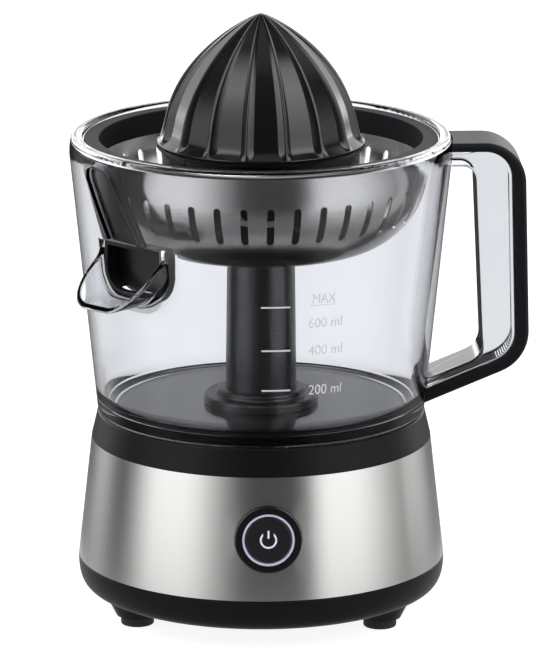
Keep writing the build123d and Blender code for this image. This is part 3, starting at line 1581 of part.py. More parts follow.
# Drive insert in the stem, with a hole that fits the shaft's flats
with BuildPart() as reamer_socket:
    with BuildSketch(Plane.XY.offset(stem_foot_z)):
        Circle(socket_radius)
    extrude(amount=socket_top_z - stem_foot_z)
    with BuildSketch(Plane.XY.offset(stem_foot_z)) as keyhole:
        Circle(shaft_radius + socket_slack)
    extrude(amount=shaft_top_z - shaft_flat_length - stem_foot_z + run_gap, mode=Mode.SUBTRACT)
    with BuildSketch(Plane.XY.offset(stem_foot_z)):
        Circle(shaft_radius + socket_slack)
        Rectangle(shaft_flat + 2 * socket_slack, 2 * (shaft_radius + overrun), mode=Mode.INTERSECT)
    extrude(amount=shaft_top_z + run_gap - stem_foot_z, mode=Mode.SUBTRACT)
reamer_socket.part.label = "reamer_socket"
export_step(reamer_socket.part, "parts/reamer_socket.step")
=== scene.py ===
import json
import math

import bmesh
import bpy
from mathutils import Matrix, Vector


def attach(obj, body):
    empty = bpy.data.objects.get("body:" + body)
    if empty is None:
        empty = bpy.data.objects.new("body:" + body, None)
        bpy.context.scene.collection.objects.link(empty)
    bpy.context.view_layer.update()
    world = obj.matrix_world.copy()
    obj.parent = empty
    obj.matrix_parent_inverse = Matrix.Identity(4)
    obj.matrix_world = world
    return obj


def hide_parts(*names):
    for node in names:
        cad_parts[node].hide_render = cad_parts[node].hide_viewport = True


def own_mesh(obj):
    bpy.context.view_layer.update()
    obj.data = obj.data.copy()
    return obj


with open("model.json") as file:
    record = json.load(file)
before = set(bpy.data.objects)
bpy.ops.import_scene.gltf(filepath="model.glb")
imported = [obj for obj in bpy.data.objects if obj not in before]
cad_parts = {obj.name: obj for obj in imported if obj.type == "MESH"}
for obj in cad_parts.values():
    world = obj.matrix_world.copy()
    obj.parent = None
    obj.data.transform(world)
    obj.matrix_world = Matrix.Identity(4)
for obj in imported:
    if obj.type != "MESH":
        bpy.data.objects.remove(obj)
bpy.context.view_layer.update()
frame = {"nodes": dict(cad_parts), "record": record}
nodes = frame["nodes"]
slotOf = {entry["node"]: entry["material_slot"] for entry in frame["record"]["subparts"]}
scene = bpy.context.scene
scene.view_settings.view_transform = "Standard"
print("frame loaded:", len(nodes), "nodes")

mm = 0.001
noiseSpan = (0.3, 0.7)    # where most values of a noise lie


def linear(hexCode):
    shares = [int(hexCode[i:i + 2], 16) / 255 for i in (1, 3, 5)]
    return [c / 12.92 if c <= 0.04045 else ((c + 0.055) / 1.055) ** 2.4 for c in shares] + [1.0]


# adds one node with its settings; a socket given as a value is linked
def addNode(tree, kind, inputs=None, **settings):
    node = tree.nodes.new(kind)
    for name, value in settings.items():
        setattr(node, name, value)
    for name, value in (inputs or {}).items():
        if isinstance(value, bpy.types.NodeSocket):
            tree.links.new(value, node.inputs[name])
        else:
            node.inputs[name].default_value = value
    return node


def newMaterial(name):
    material = bpy.data.materials.new(name)
    material.use_nodes = True
    material.node_tree.nodes.clear()
    return material, material.node_tree


# Moulded or cast surfaces: two close tones in wide clouds, a roughness spread and a fine bump.
# Lengths are in millimetres; grain finer than the render can show is drawn coarser.
mouldedCommon = {"cloud": 35.0, "bump": 0.15, "depth": 0.05, "metal": 0.0, "gloss": 0.5}
mouldedLooks = {
    # ABS, fine spark finish: deep black with a faint satin sheen
    "black_abs": {"dark": "#0a0b0c", "light": "#0e0f11", "grain": 0.9, "rough": (0.34, 0.44), "gloss": 0.12},
    # moulded rubber: matt, with no clear highlight
    "black_rubber": {"dark": "#0d0d0e", "light": "#141415", "grain": 1.2, "rough": (0.65, 0.8)},
    # ABS from a polished mould: small sharp highlights
    "bezel_black": {"dark": "#0b0b0d", "light": "#111113", "grain": 2.0, "rough": (0.14, 0.2)},
    # satin ABS: softer than the bezel round it
    "cap_black": {"dark": "#101113", "light": "#151618", "grain": 0.8, "rough": (0.3, 0.38)},
    # nylon switch body: plain and matt
    "switch_black": {"dark": "#151515", "light": "#1d1d1d", "grain": 0.5, "rough": (0.4, 0.5)},
    # solder mask on glass board: smooth dark green
    "board_green": {"dark": "#0e3a22", "light": "#15512f", "grain": 1.5, "rough": (0.3, 0.4)},
    # glass-filled nylon: dull, a little grey
    "motor_cap_black": {"dark": "#151515", "light": "#1c1c1c", "grain": 0.8, "rough": (0.4, 0.5)},
    # stacked iron sheets: dark, dull metal
    "rotor_iron": {"dark": "#4a4745", "light": "#5e5a57", "grain": 0.6, "rough": (0.4, 0.55), "metal": 1.0},
    # natural acetal: creamy and waxy
    "gear_acetal": {"dark": "#dcd8cd", "light": "#e6e3da", "grain": 1.0, "rough": (0.35, 0.45)},
    # glass-filled nylon, as moulded: even satin black
    "tower_black": {"dark": "#131416", "light": "#1a1b1d", "grain": 0.9, "rough": (0.36, 0.46)},
    # black inside the throat and on the panel; the grey on the outside of the throat is a painted reflection of the
    # jug's wall in front of it
    "guard_black": {"dark": "#08080a", "light": "#0e0e10", "grain": 1.5, "rough": (0.28, 0.36), "gloss": 0.3,
                    "paintedReflection": {"tone": "#7f7e7d", "side": (0.6947, -0.7193, 0.0), "middle": 154.4, "top": 164.9,
                             "clear": 0.5}},
    # soft elastomer: a dry black that hardly mirrors
    "grip_black": {"dark": "#131416", "light": "#191a1c", "grain": 0.9, "rough": (0.4, 0.48), "gloss": 0.12},
    # ABS off a polished core: long highlights down both sides
    "column_black": {"dark": "#0d0e10", "light": "#131416", "grain": 0.6, "rough": (0.27, 0.31), "bump": 0.02,
                     "gloss": 0.9},
    # ABS, coarse spark finish: charcoal rather than black
    "ring_black": {"dark": "#212224", "light": "#28292b", "grain": 0.9, "rough": (0.45, 0.52), "gloss": 0.03},
    # polished ABS: mirrors the panels on flute floors and ridges
    "reamer_black": {"dark": "#0c0c0e", "light": "#121214", "grain": 1.6, "rough": (0.12, 0.2), "bump": 0.05},
    # white moulded insert: pale and slightly cool
    "symbol_white": {"dark": "#cdd0da", "light": "#dadce3", "grain": 0.8, "rough": (0.35, 0.45)},
    # pad-printing ink: flat light grey
    "print_grey": {"dark": "#cccdd0", "light": "#d6d7d9", "grain": 0.8, "rough": (0.4, 0.5)},
    # ceramic lamp package: clean warm white
    "led_white": {"dark": "#e6e4d8", "light": "#f2f0e4", "grain": 0.6, "rough": (0.3, 0.4)},
}


def mouldedMaterial(name, ownLook):
    look = {**mouldedCommon, **ownLook}
    material, tree = newMaterial(name)
    place = addNode(tree, "ShaderNodeTexCoord").outputs["Object"]
    grain = addNode(tree, "ShaderNodeTexNoise", {
        "Vector": place, "Scale": 1 / (look["grain"] * mm), "Detail": 3.0, "Roughness": 0.55}).outputs["Fac"]
    cloud = addNode(tree, "ShaderNodeTexNoise", {
        "Vector": place, "Scale": 1 / (look["cloud"] * mm), "Detail": 2.0}).outputs["Fac"]
    colour = addNode(tree, "ShaderNodeMix", {
        "Factor": cloud, "A": linear(look["dark"]), "B": linear(look["light"])}, data_type="RGBA").outputs["Result"]
    rough = addNode(tree, "ShaderNodeMapRange", {
        "Value": grain, "From Min": noiseSpan[0], "From Max": noiseSpan[1],
        "To Min": look["rough"][0], "To Max": look["rough"][1]}).outputs["Result"]
    bump = addNode(tree, "ShaderNodeBump", {
        "Height": grain, "Strength": look["bump"], "Distance": look["depth"] * mm}).outputs["Normal"]
    if "paintedReflection" in look:
        # painted reflection: faces that look away from the throat's middle line, below its top, are turned grey
        paintedReflection = look["paintedReflection"]
        height = addNode(tree, "ShaderNodeSeparateXYZ", {"Vector": place}).outputs["Z"]
        across = addNode(tree, "ShaderNodeVectorMath", {
            0: place, 1: paintedReflection["side"]}, operation="DOT_PRODUCT").outputs["Value"]
        up = addNode(tree, "ShaderNodeMath", {0: height, 1: paintedReflection["middle"] * mm}, operation="SUBTRACT").outputs[0]
        facing = addNode(tree, "ShaderNodeNewGeometry").outputs["Normal"]
        faceUp = addNode(tree, "ShaderNodeSeparateXYZ", {"Vector": facing}).outputs["Z"]
        faceSide = addNode(tree, "ShaderNodeVectorMath", {
            0: facing, 1: paintedReflection["side"]}, operation="DOT_PRODUCT").outputs["Value"]
        lift = addNode(tree, "ShaderNodeMath", {0: up, 1: faceUp}, operation="MULTIPLY").outputs[0]
        away = addNode(tree, "ShaderNodeMath", {
            0: across, 1: faceSide, 2: lift}, operation="MULTIPLY_ADD").outputs[0]
        outer = addNode(tree, "ShaderNodeMath", {0: away, 1: paintedReflection["clear"] * mm}, operation="GREATER_THAN").outputs[0]
        low = addNode(tree, "ShaderNodeMath", {0: height, 1: paintedReflection["top"] * mm}, operation="LESS_THAN").outputs[0]
        share = addNode(tree, "ShaderNodeMath", {0: outer, 1: low}, operation="MULTIPLY").outputs[0]
        colour = addNode(tree, "ShaderNodeMix", {
            "Factor": share, "A": colour, "B": linear(paintedReflection["tone"])}, data_type="RGBA").outputs["Result"]
    shader = addNode(tree, "ShaderNodeBsdfPrincipled", {
        "Base Color": colour, "Roughness": rough, "Normal": bump,
        "Metallic": look["metal"], "Specular IOR Level": look["gloss"]}).outputs["BSDF"]
    addNode(tree, "ShaderNodeOutputMaterial", {"Surface": shader})
    return material


# Brushed, drawn or turned metal: fine lines round the Z axis that spread a reflection up and down.
# Lengths are in millimetres; lines finer than the render can show are drawn coarser.
turnedCommon = {"depth": 0.03, "quarterTurn": 0.25}
turnedLooks = {
    # stainless sheet, brushed round: soft upright bands of light and shade
    "band_steel": {"dark": "#c1c1c0", "light": "#c5c5c3", "line": 0.35, "lineTurns": 1.6,
                   "rough": (0.24, 0.25), "bump": 0.008, "spread": 0.7},
    # deep-drawn stainless, finely brushed: sharper than the band; its floor under the cone has painted shade, a dark
    # dull tone where the cone shades it
    "bowl_steel": {"dark": "#c1c0be", "light": "#cac9c6", "line": 0.5, "lineTurns": 1.6,
                   "rough": (0.18, 0.2), "bump": 0.015, "spread": 0.5,
                   "paintedShade": {"under": 160.0, "from": 60.0, "to": 52.0, "rough": 0.8, "tone": "#121212"}},
    # zinc-plated steel: bright and a little blue
    "screw_steel": {"dark": "#a5a6a8", "light": "#c2c3c5", "line": 0.4, "lineTurns": 3.0,
                    "rough": (0.25, 0.35), "bump": 0.1, "spread": 0.2},
    # zinc-plated sheet: dull grey with broad marks
    "plate_zinc": {"dark": "#9fa3a6", "light": "#b9bdbf", "line": 2.5, "lineTurns": 4.0,
                   "rough": (0.35, 0.45), "bump": 0.1, "spread": 0.1},
    # drawn and plated steel: even satin grey
    "motor_steel": {"dark": "#8f9193", "light": "#a9abad", "line": 1.0, "lineTurns": 2.0,
                    "rough": (0.3, 0.4), "bump": 0.1, "spread": 0.2},
    # ground steel: bright, with fine rings
    "shaft_steel": {"dark": "#b2b2b3", "light": "#cbcbcc", "line": 0.5, "lineTurns": 2.0,
                    "rough": (0.16, 0.24), "bump": 0.08, "spread": 0.4},
    # sintered bronze: brown and dull
    "bush_bronze": {"dark": "#8c6a3a", "light": "#a88350", "line": 0.8, "lineTurns": 3.0,
                    "rough": (0.4, 0.5), "bump": 0.1, "spread": 0.2},
    # turned brass: warm, with tool rings
    "pinion_brass": {"dark": "#b08a45", "light": "#caa55c", "line": 0.6, "lineTurns": 3.0,
                     "rough": (0.25, 0.35), "bump": 0.1, "spread": 0.2},
}


def turnedMaterial(name, ownLook):
    look = {**turnedCommon, **ownLook}
    material, tree = newMaterial(name)
    place = addNode(tree, "ShaderNodeTexCoord").outputs["Object"]
    parts = addNode(tree, "ShaderNodeSeparateXYZ", {"Vector": place}).outputs
    angle = addNode(tree, "ShaderNodeMath", {0: parts["Y"], 1: parts["X"]}, operation="ARCTAN2").outputs[0]
    across = addNode(tree, "ShaderNodeMath", {0: angle}, operation="SINE").outputs[0]
    along = addNode(tree, "ShaderNodeMath", {0: angle}, operation="COSINE").outputs[0]
    # round the axis the lines are long, so the direction counts little against the height
    spot = addNode(tree, "ShaderNodeCombineXYZ", {"X": across, "Y": along, "Z": parts["Z"]}).outputs["Vector"]
    density = (look["lineTurns"], look["lineTurns"], 1 / (look["line"] * mm))
    stretch = addNode(tree, "ShaderNodeVectorMath", {0: spot, 1: density}, operation="MULTIPLY").outputs["Vector"]
    lines = addNode(tree, "ShaderNodeTexNoise", {
        "Vector": stretch, "Scale": 1.0, "Detail": 4.0, "Roughness": 0.65}).outputs["Fac"]
    tone = addNode(tree, "ShaderNodeMix", {
        "Factor": lines, "A": linear(look["dark"]), "B": linear(look["light"])}, data_type="RGBA").outputs["Result"]
    rough = addNode(tree, "ShaderNodeMapRange", {
        "Value": lines, "From Min": noiseSpan[0], "From Max": noiseSpan[1],
        "To Min": look["rough"][0], "To Max": look["rough"][1]}).outputs["Result"]
    metal = 1.0
    if "paintedShade" in look:
        # painted shade: faces that look up or to the axis, low and near the middle, are made dark and dull as if the
        # cone shaded them
        paintedShade = look["paintedShade"]
        facing = addNode(tree, "ShaderNodeNewGeometry").outputs["Normal"]
        faceUp = addNode(tree, "ShaderNodeSeparateXYZ", {"Vector": facing}).outputs["Z"]
        flat = addNode(tree, "ShaderNodeVectorMath", {
            0: place, 1: (1.0, 1.0, 0.0)}, operation="MULTIPLY").outputs["Vector"]
        reach = addNode(tree, "ShaderNodeVectorMath", {0: flat}, operation="LENGTH").outputs["Value"]
        outWay = addNode(tree, "ShaderNodeVectorMath", {0: flat}, operation="NORMALIZE").outputs["Vector"]
        faceOut = addNode(tree, "ShaderNodeVectorMath", {
            0: facing, 1: outWay}, operation="DOT_PRODUCT").outputs["Value"]
        inward = addNode(tree, "ShaderNodeMath", {0: faceUp, 1: faceOut}, operation="GREATER_THAN").outputs[0]
        low = addNode(tree, "ShaderNodeMath", {
            0: parts["Z"], 1: paintedShade["under"] * mm}, operation="LESS_THAN").outputs[0]
        near = addNode(tree, "ShaderNodeMapRange", {
            "Value": reach, "From Min": paintedShade["from"] * mm, "From Max": paintedShade["to"] * mm}).outputs["Result"]
        share = addNode(tree, "ShaderNodeMath", {0: inward, 1: low}, operation="MULTIPLY").outputs[0]
        share = addNode(tree, "ShaderNodeMath", {0: share, 1: near}, operation="MULTIPLY").outputs[0]
        tone = addNode(tree, "ShaderNodeMix", {
            "Factor": share, "A": tone, "B": linear(paintedShade["tone"])}, data_type="RGBA").outputs["Result"]
        rough = addNode(tree, "ShaderNodeMapRange", {
            "Value": share, "To Min": rough, "To Max": paintedShade["rough"]}).outputs["Result"]
        metal = addNode(tree, "ShaderNodeMath", {0: 1.0, 1: share}, operation="SUBTRACT").outputs[0]
    bump = addNode(tree, "ShaderNodeBump", {
        "Height": lines, "Strength": look["bump"], "Distance": look["depth"] * mm}).outputs["Normal"]
    grain = addNode(tree, "ShaderNodeTangent", direction_type="RADIAL", axis="Z").outputs["Tangent"]
    shader = addNode(tree, "ShaderNodeBsdfPrincipled", {
        "Base Color": tone, "Metallic": metal, "Roughness": rough, "Normal": bump, "Tangent": grain,
        "Anisotropic": look["spread"], "Anisotropic Rotation": look["quarterTurn"]}).outputs["BSDF"]
    addNode(tree, "ShaderNodeOutputMaterial", {"Surface": shader})
    return material


# clear styrene acrylonitrile, polished mould: sharp gloss, edges that go grey-blue where the eye looks through
# a long way of plastic, and a trace of handling haze
clearLook = {"tint": "#eeeff2", "haze": "#e9eaed", "rough": (0.0, 0.015), "cloud": 28.0, "cloudSpan": (0.35, 0.7),
             "ior": 1.5, "body": "#8b9099", "density": 24.0, "glance": "#808080"}


def clearMaterial(name, look):
    material, tree = newMaterial(name)
    place = addNode(tree, "ShaderNodeTexCoord").outputs["Object"]
    cloud = addNode(tree, "ShaderNodeTexNoise", {
        "Vector": place, "Scale": 1 / (look["cloud"] * mm), "Detail": 3.0}).outputs["Fac"]
    tone = addNode(tree, "ShaderNodeMix", {
        "Factor": cloud, "A": linear(look["tint"]), "B": linear(look["haze"])}, data_type="RGBA").outputs["Result"]
    rough = addNode(tree, "ShaderNodeMapRange", {
        "Value": cloud, "From Min": look["cloudSpan"][0], "From Max": look["cloudSpan"][1],
        "To Min": look["rough"][0], "To Max": look["rough"][1]}).outputs["Result"]
    shader = addNode(tree, "ShaderNodeBsdfPrincipled", {
        "Base Color": tone, "Roughness": rough, "Transmission Weight": 1.0, "IOR": look["ior"],
        "Specular Tint": linear(look["glance"])}).outputs["BSDF"]
    body = addNode(tree, "ShaderNodeVolumeAbsorption", {
        "Color": linear(look["body"]), "Density": look["density"]}).outputs["Volume"]
    addNode(tree, "ShaderNodeOutputMaterial", {"Surface": shader, "Volume": body})
    return material


# milky polycarbonate with light behind it: a soft, slightly violet ring
litLook = {"dark": "#a2a2ba", "light": "#b6b6cb", "cloud": 6.0, "rough": 0.4, "glow": 0.16}


def litMaterial(name, look):
    material, tree = newMaterial(name)
    place = addNode(tree, "ShaderNodeTexCoord").outputs["Object"]
    cloud = addNode(tree, "ShaderNodeTexNoise", {
        "Vector": place, "Scale": 1 / (look["cloud"] * mm), "Detail": 2.0}).outputs["Fac"]
    tone = addNode(tree, "ShaderNodeMix", {
        "Factor": cloud, "A": linear(look["dark"]), "B": linear(look["light"])}, data_type="RGBA").outputs["Result"]
    shader = addNode(tree, "ShaderNodeBsdfPrincipled", {
        "Base Color": tone, "Roughness": look["rough"],
        "Emission Color": tone, "Emission Strength": look["glow"]}).outputs["BSDF"]
    addNode(tree, "ShaderNodeOutputMaterial", {"Surface": shader})
    return material


# finishes by the record's slots
finishes = {}
for slotName, look in mouldedLooks.items():
    finishes[slotName] = mouldedMaterial(slotName, look)
for slotName, look in turnedLooks.items():
    finishes[slotName] = turnedMaterial(slotName, look)
finishes["jug_clear"] = clearMaterial("jug_clear", clearLook)
finishes["light_diffuser"] = litMaterial("light_diffuser", litLook)
for nodeName, slotName in slotOf.items():
    for slot in nodes[nodeName].material_slots:
        slot.material = finishes[slotName]
print("finishes set:", len(finishes))


def pieceFrom(name, mesh, body, slotName):
    piece = bpy.data.objects.new(name, mesh)
    scene.collection.objects.link(piece)
    mesh.materials.clear()
    mesh.materials.append(finishes[slotName])
    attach(piece, body)
    return piece


# turns a profile of (radius, height, share of fluting) round Z at the given angles; a row on the axis is one point
def latheMesh(name, profile, angles):
    shape = bmesh.new()
    share = shape.verts.layers.float.new("flute")
    rows = []
    for radius, height, flute in profile:
        if radius == 0:
            row = [shape.verts.new((0.0, 0.0, height))] * len(angles)
        else:
            row = [shape.verts.new((radius * math.cos(a), radius * math.sin(a), height)) for a in angles]
        for vertex in set(row):
            vertex[share] = flute
        rows.append(row)
    for lower, upper in zip(rows, rows[1:]):
        for i in range(len(angles)):
            j = (i + 1) % len(angles)
            corners = []
            for vertex in (lower[i], lower[j], upper[j], upper[i]):
                if vertex not in corners:
                    corners.append(vertex)
            if len(corners) > 2:
                shape.faces.new(corners)
    bmesh.ops.recalc_face_normals(shape, faces=shape.faces)
    mesh = bpy.data.meshes.new(name)
    shape.to_mesh(mesh)
    shape.free()
    return mesh


# reamer, millimetres and degrees: a turned shell whose flutes a node tree carves by rule
reamerLook = {
    "base": 194.0, "tip": 249.2, "radius": 40.6, "rise": 2.17, "fall": 1.2,
    "rim": 42.5, "rimHeight": 2.6, "rimRound": 0.4, "roundSteps": 4, "flare": 1.5, "flareHeight": 9.0,
    "skirt": 40.4, "skirtFoot": 187.0, "skirtEdge": 0.4, "wall": 2.6,
    "stem": 8.2, "stemFoot": 164.3, "bore": 6.15, "boreTop": 188.0,
    # heights of the hollow's rows as shares of the cone, from the stem down
    "hollow": (0.82, 0.76, 0.7, 0.6, 0.5, 0.375, 0.25, 0.125, 0.0),
    "flutes": 16, "firstAngle": 12.0, "depthShare": 0.055, "floorShare": 0.66, "ridgeRound": 0.16, "runOut": 4.0,
    # outer rows crowd towards the tip, where the cone turns in
    "rows": 44, "evenShare": 0.35, "evenPower": 2, "tipPower": 1.6, "sharpEdge": 26.0,
    # places across one flute, closest at the ridge and at the two floor corners
    "across": (0.0, 0.012, 0.028, 0.05, 0.085, 0.125, 0.155, 0.17, 0.19, 0.3, 0.4,
               0.5, 0.6, 0.7, 0.81, 0.83, 0.845, 0.875, 0.915, 0.95, 0.972, 0.988)}


def reamerRadius(look, height):
    share = (height - look["base"]) / (look["tip"] - look["base"])
    above = (height - look["base"] - look["rimHeight"]) / look["flareHeight"]
    flare = look["flare"] * max(0.0, 1 - max(0.0, above)) ** 2
    return look["radius"] * max(0.0, 1 - share ** look["rise"]) ** (1 / look["fall"]) + flare


def reamerProfile(look):
    top = look["base"] + look["rimHeight"]
    # bore and stem, then the hollow under the cone
    profile = [(0.0, look["boreTop"], 0), (look["bore"], look["boreTop"], 0),
               (look["bore"], look["stemFoot"], 0), (look["stem"], look["stemFoot"], 0)]
    hollow = []
    for share in look["hollow"]:
        height = look["base"] + (look["tip"] - look["base"]) * share
        radius = reamerRadius(look, height) * (1 - look["depthShare"]) - look["wall"]
        hollow.append((radius, height - look["wall"], 0))
    profile.append((look["stem"], hollow[0][1], 0))
    profile += hollow
    # skirt and rim
    profile += [(hollow[-1][0], look["skirtFoot"], 0),
                (look["skirt"] - look["skirtEdge"], look["skirtFoot"], 0),
                (look["skirt"], look["skirtFoot"] + look["skirtEdge"], 0), (look["skirt"], look["base"], 0)]
    for corner, start in ((look["base"] + look["rimRound"], -90), (top - look["rimRound"], 0)):
        for turnStep in range(look["roundSteps"] + 1):
            a = math.radians(start + 90 * turnStep / look["roundSteps"])
            profile.append((look["rim"] - look["rimRound"] + look["rimRound"] * math.cos(a),
                            corner + look["rimRound"] * math.sin(a), 0))
    # outside of the cone
    for row in range(look["rows"]):
        share = row / (look["rows"] - 1)
        crowded = (look["evenShare"] * share ** look["evenPower"]
                   + (1 - look["evenShare"]) * (1 - (1 - share) ** look["tipPower"]))
        height = top + (look["tip"] - top) * crowded
        radius = reamerRadius(look, height) if row < look["rows"] - 1 else 0.0
        # the flutes run out in a hollow curve at the rim
        run = min(1.0, (height - top) / look["runOut"])
        profile.append((radius, height, 1 - (1 - run) ** 2))
    return [(r * mm, z * mm, f) for r, z, f in profile]


def fluteTree(finish):
    tree = bpy.data.node_groups.new("flutes", "GeometryNodeTree")
    tree.interface.new_socket("Geometry", in_out="INPUT", socket_type="NodeSocketGeometry")
    for name in ("Flutes", "First Angle", "Depth Share", "Floor Share", "Ridge Round"):
        tree.interface.new_socket(name, in_out="INPUT", socket_type="NodeSocketFloat")
    tree.interface.new_socket("Geometry", in_out="OUTPUT", socket_type="NodeSocketGeometry")
    given = addNode(tree, "NodeGroupInput").outputs
    place = addNode(tree, "GeometryNodeInputPosition").outputs["Position"]
    spot = addNode(tree, "ShaderNodeSeparateXYZ", {"Vector": place}).outputs
    amount = addNode(tree, "GeometryNodeInputNamedAttribute", {
        "Name": "flute"}, data_type="FLOAT").outputs["Attribute"]
    # off: how far a point is from the middle of its flute, 0 to 0.5 of a flute
    step = addNode(tree, "ShaderNodeMath", {0: 2 * math.pi, 1: given["Flutes"]}, operation="DIVIDE").outputs[0]
    angle = addNode(tree, "ShaderNodeMath", {0: spot["Y"], 1: spot["X"]}, operation="ARCTAN2").outputs[0]
    turned = addNode(tree, "ShaderNodeMath", {0: angle, 1: given["First Angle"]}, operation="SUBTRACT").outputs[0]
    count = addNode(tree, "ShaderNodeMath", {0: turned, 1: step}, operation="DIVIDE").outputs[0]
    part = addNode(tree, "ShaderNodeMath", {0: count}, operation="FRACT").outputs[0]
    middle = addNode(tree, "ShaderNodeMath", {0: part, 1: 0.5}, operation="SUBTRACT").outputs[0]
    off = addNode(tree, "ShaderNodeMath", {0: middle}, operation="ABSOLUTE").outputs[0]
    half = addNode(tree, "ShaderNodeMath", {0: given["Floor Share"], 1: 0.5}, operation="MULTIPLY").outputs[0]
    # 1 over the floor, falling to 0 at the ridge, with a small radius on the ridge
    fall = addNode(tree, "ShaderNodeMapRange", {
        "Value": off, "From Min": half, "From Max": 0.5, "To Min": 1.0, "To Max": 0.0}).outputs["Result"]
    soft = given["Ridge Round"]
    square = addNode(tree, "ShaderNodeMath", {0: fall, 1: fall}, operation="MULTIPLY").outputs[0]
    softSquare = addNode(tree, "ShaderNodeMath", {0: soft, 1: soft}, operation="MULTIPLY").outputs[0]
    total = addNode(tree, "ShaderNodeMath", {0: square, 1: softSquare}, operation="ADD").outputs[0]
    root = addNode(tree, "ShaderNodeMath", {0: total}, operation="SQRT").outputs[0]
    rounded = addNode(tree, "ShaderNodeMath", {0: root, 1: soft}, operation="SUBTRACT").outputs[0]
    deep = addNode(tree, "ShaderNodeMath", {0: rounded, 1: given["Depth Share"]}, operation="MULTIPLY").outputs[0]
    # a flat floor lies on the chord between its two corners
    halfTurn = addNode(tree, "ShaderNodeMath", {0: half, 1: step}, operation="MULTIPLY").outputs[0]
    offTurn = addNode(tree, "ShaderNodeMath", {0: off, 1: step}, operation="MULTIPLY").outputs[0]
    inside = addNode(tree, "ShaderNodeMath", {0: offTurn, 1: halfTurn}, operation="MINIMUM").outputs[0]
    cornerCos = addNode(tree, "ShaderNodeMath", {0: halfTurn}, operation="COSINE").outputs[0]
    placeCos = addNode(tree, "ShaderNodeMath", {0: inside}, operation="COSINE").outputs[0]
    chord = addNode(tree, "ShaderNodeMath", {0: cornerCos, 1: placeCos}, operation="DIVIDE").outputs[0]
    left = addNode(tree, "ShaderNodeMath", {0: 1.0, 1: deep}, operation="SUBTRACT").outputs[0]
    carved = addNode(tree, "ShaderNodeMath", {0: left, 1: chord}, operation="MULTIPLY").outputs[0]
    factor = addNode(tree, "ShaderNodeMapRange", {
        "Value": amount, "To Min": 1.0, "To Max": carved}).outputs["Result"]
    scale = addNode(tree, "ShaderNodeCombineXYZ", {"X": factor, "Y": factor, "Z": 1.0}).outputs["Vector"]
    moved = addNode(tree, "ShaderNodeVectorMath", {0: place, 1: scale}, operation="MULTIPLY").outputs["Vector"]
    shaped = addNode(tree, "GeometryNodeSetPosition", {"Geometry": given["Geometry"], "Position": moved}).outputs[0]
    real = addNode(tree, "GeometryNodeRealizeInstances", {0: shaped}).outputs[0]
    dressed = addNode(tree, "GeometryNodeSetMaterial", {"Geometry": real, "Material": finish}).outputs[0]
    addNode(tree, "NodeGroupOutput", {0: dressed})
    return tree


def treeInput(tree, name):
    return next(i.identifier for i in tree.interface.items_tree if i.name == name and i.in_out == "INPUT")


# the plain mesh that an object gives once it is evaluated; the object itself goes
def settledMesh(carrier):
    graph = bpy.context.evaluated_depsgraph_get()
    mesh = bpy.data.meshes.new_from_object(carrier.evaluated_get(graph))
    bpy.data.objects.remove(carrier)
    return mesh


def shapedBy(name, mesh, tree, sizes):
    carrier = bpy.data.objects.new(name, mesh)
    scene.collection.objects.link(carrier)
    modifier = carrier.modifiers.new(name, "NODES")
    modifier.node_group = tree
    for size, value in sizes.items():
        modifier[treeInput(tree, size)] = value
    return settledMesh(carrier)


firstAngle = math.radians(reamerLook["firstAngle"])
fluteStep = 2 * math.pi / reamerLook["flutes"]
fluteAngles = [firstAngle + fluteStep * (k + t) for k in range(reamerLook["flutes"]) for t in reamerLook["across"]]
ridgeRound = reamerLook["ridgeRound"]
reamerMesh = shapedBy(
    "reamer_shell", latheMesh("reamer_shell", reamerProfile(reamerLook), fluteAngles),
    fluteTree(finishes["reamer_black"]),
    {"Flutes": float(reamerLook["flutes"]), "First Angle": firstAngle,
     "Depth Share": reamerLook["depthShare"] / (math.sqrt(1 + ridgeRound ** 2) - ridgeRound),
     "Floor Share": reamerLook["floorShare"], "Ridge Round": ridgeRound})
for face in reamerMesh.polygons:
    face.use_smooth = True
reamerMesh.set_sharp_from_angle(angle=math.radians(reamerLook["sharpEdge"]))
reamerCone = pieceFrom("reamer_cone", reamerMesh, "reamer", "reamer_black")
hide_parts("reamer")
print("reamer shaped:", len(reamerMesh.polygons), "faces")

# the button's return spring, copied with its points merged and its faces smoothed; lengths in millimetres
springLook = {"press": (0.0, 0.993676, -0.112285), "travel": 1.4, "merge": 0.001}
springNode = nodes["button_spring"]
springMesh = springNode.data.copy()
springMesh.transform(springNode.matrix_world)
springShape = bmesh.new()
springShape.from_mesh(springMesh)
bmesh.ops.remove_doubles(springShape, verts=springShape.verts, dist=springLook["merge"] * mm)
for face in springShape.faces:
    face.smooth = True
springShape.to_mesh(springMesh)
springShape.free()
returnSpring = pieceFrom("return_spring", springMesh, "base", slotOf["button_spring"])
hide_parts("button_spring")
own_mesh(returnSpring)
print("spring seated:", len(springMesh.polygons), "faces")

# pad print on the front of the jug: heights in millimetres, turns in degrees from the front towards the handle
printLook = {
    "thickness": 0.06, "gap": 0.02, "capHeight": 4.1, "lineWidth": 0.65, "lineSteps": 12, "merge": 0.0001,
    # height, first turn, last turn
    "lines": ((109.0, -2.15, 7.3), (125.8, -2.2, 7.1), (144.0, -2.3, 6.8)),
    "words": (("200 ml", 108.7, 13.5, 25.0), ("400 ml", 125.4, 13.0, 24.6), ("600 ml", 136.9, 12.85, 24.0),
              ("MAX", 147.0, 13.95, 21.6)),
    # height, first turn, last turn, width
    "underline": (144.2, 13.3, 21.3, 0.3)}
jugWall = {"footRadius": 67.3, "shoulderRadius": 78.1, "foot": 84.3, "shoulder": 191.0}


def wallRadius(height):
    share = (height - jugWall["foot"]) / (jugWall["shoulder"] - jugWall["foot"])
    return jugWall["footRadius"] + (jugWall["shoulderRadius"] - jugWall["footRadius"]) * share


# puts a flat mesh (turn in radians, height in mm, 0 or 1 for depth) on the outside of the jug's wall
def wrapOnWall(shape):
    for vertex in shape.verts:
        turn, height, depth = vertex.co
        radius = wallRadius(height) + printLook["gap"] + depth * printLook["thickness"]
        vertex.co = (radius * math.sin(turn) * mm, -radius * math.cos(turn) * mm, height * mm)


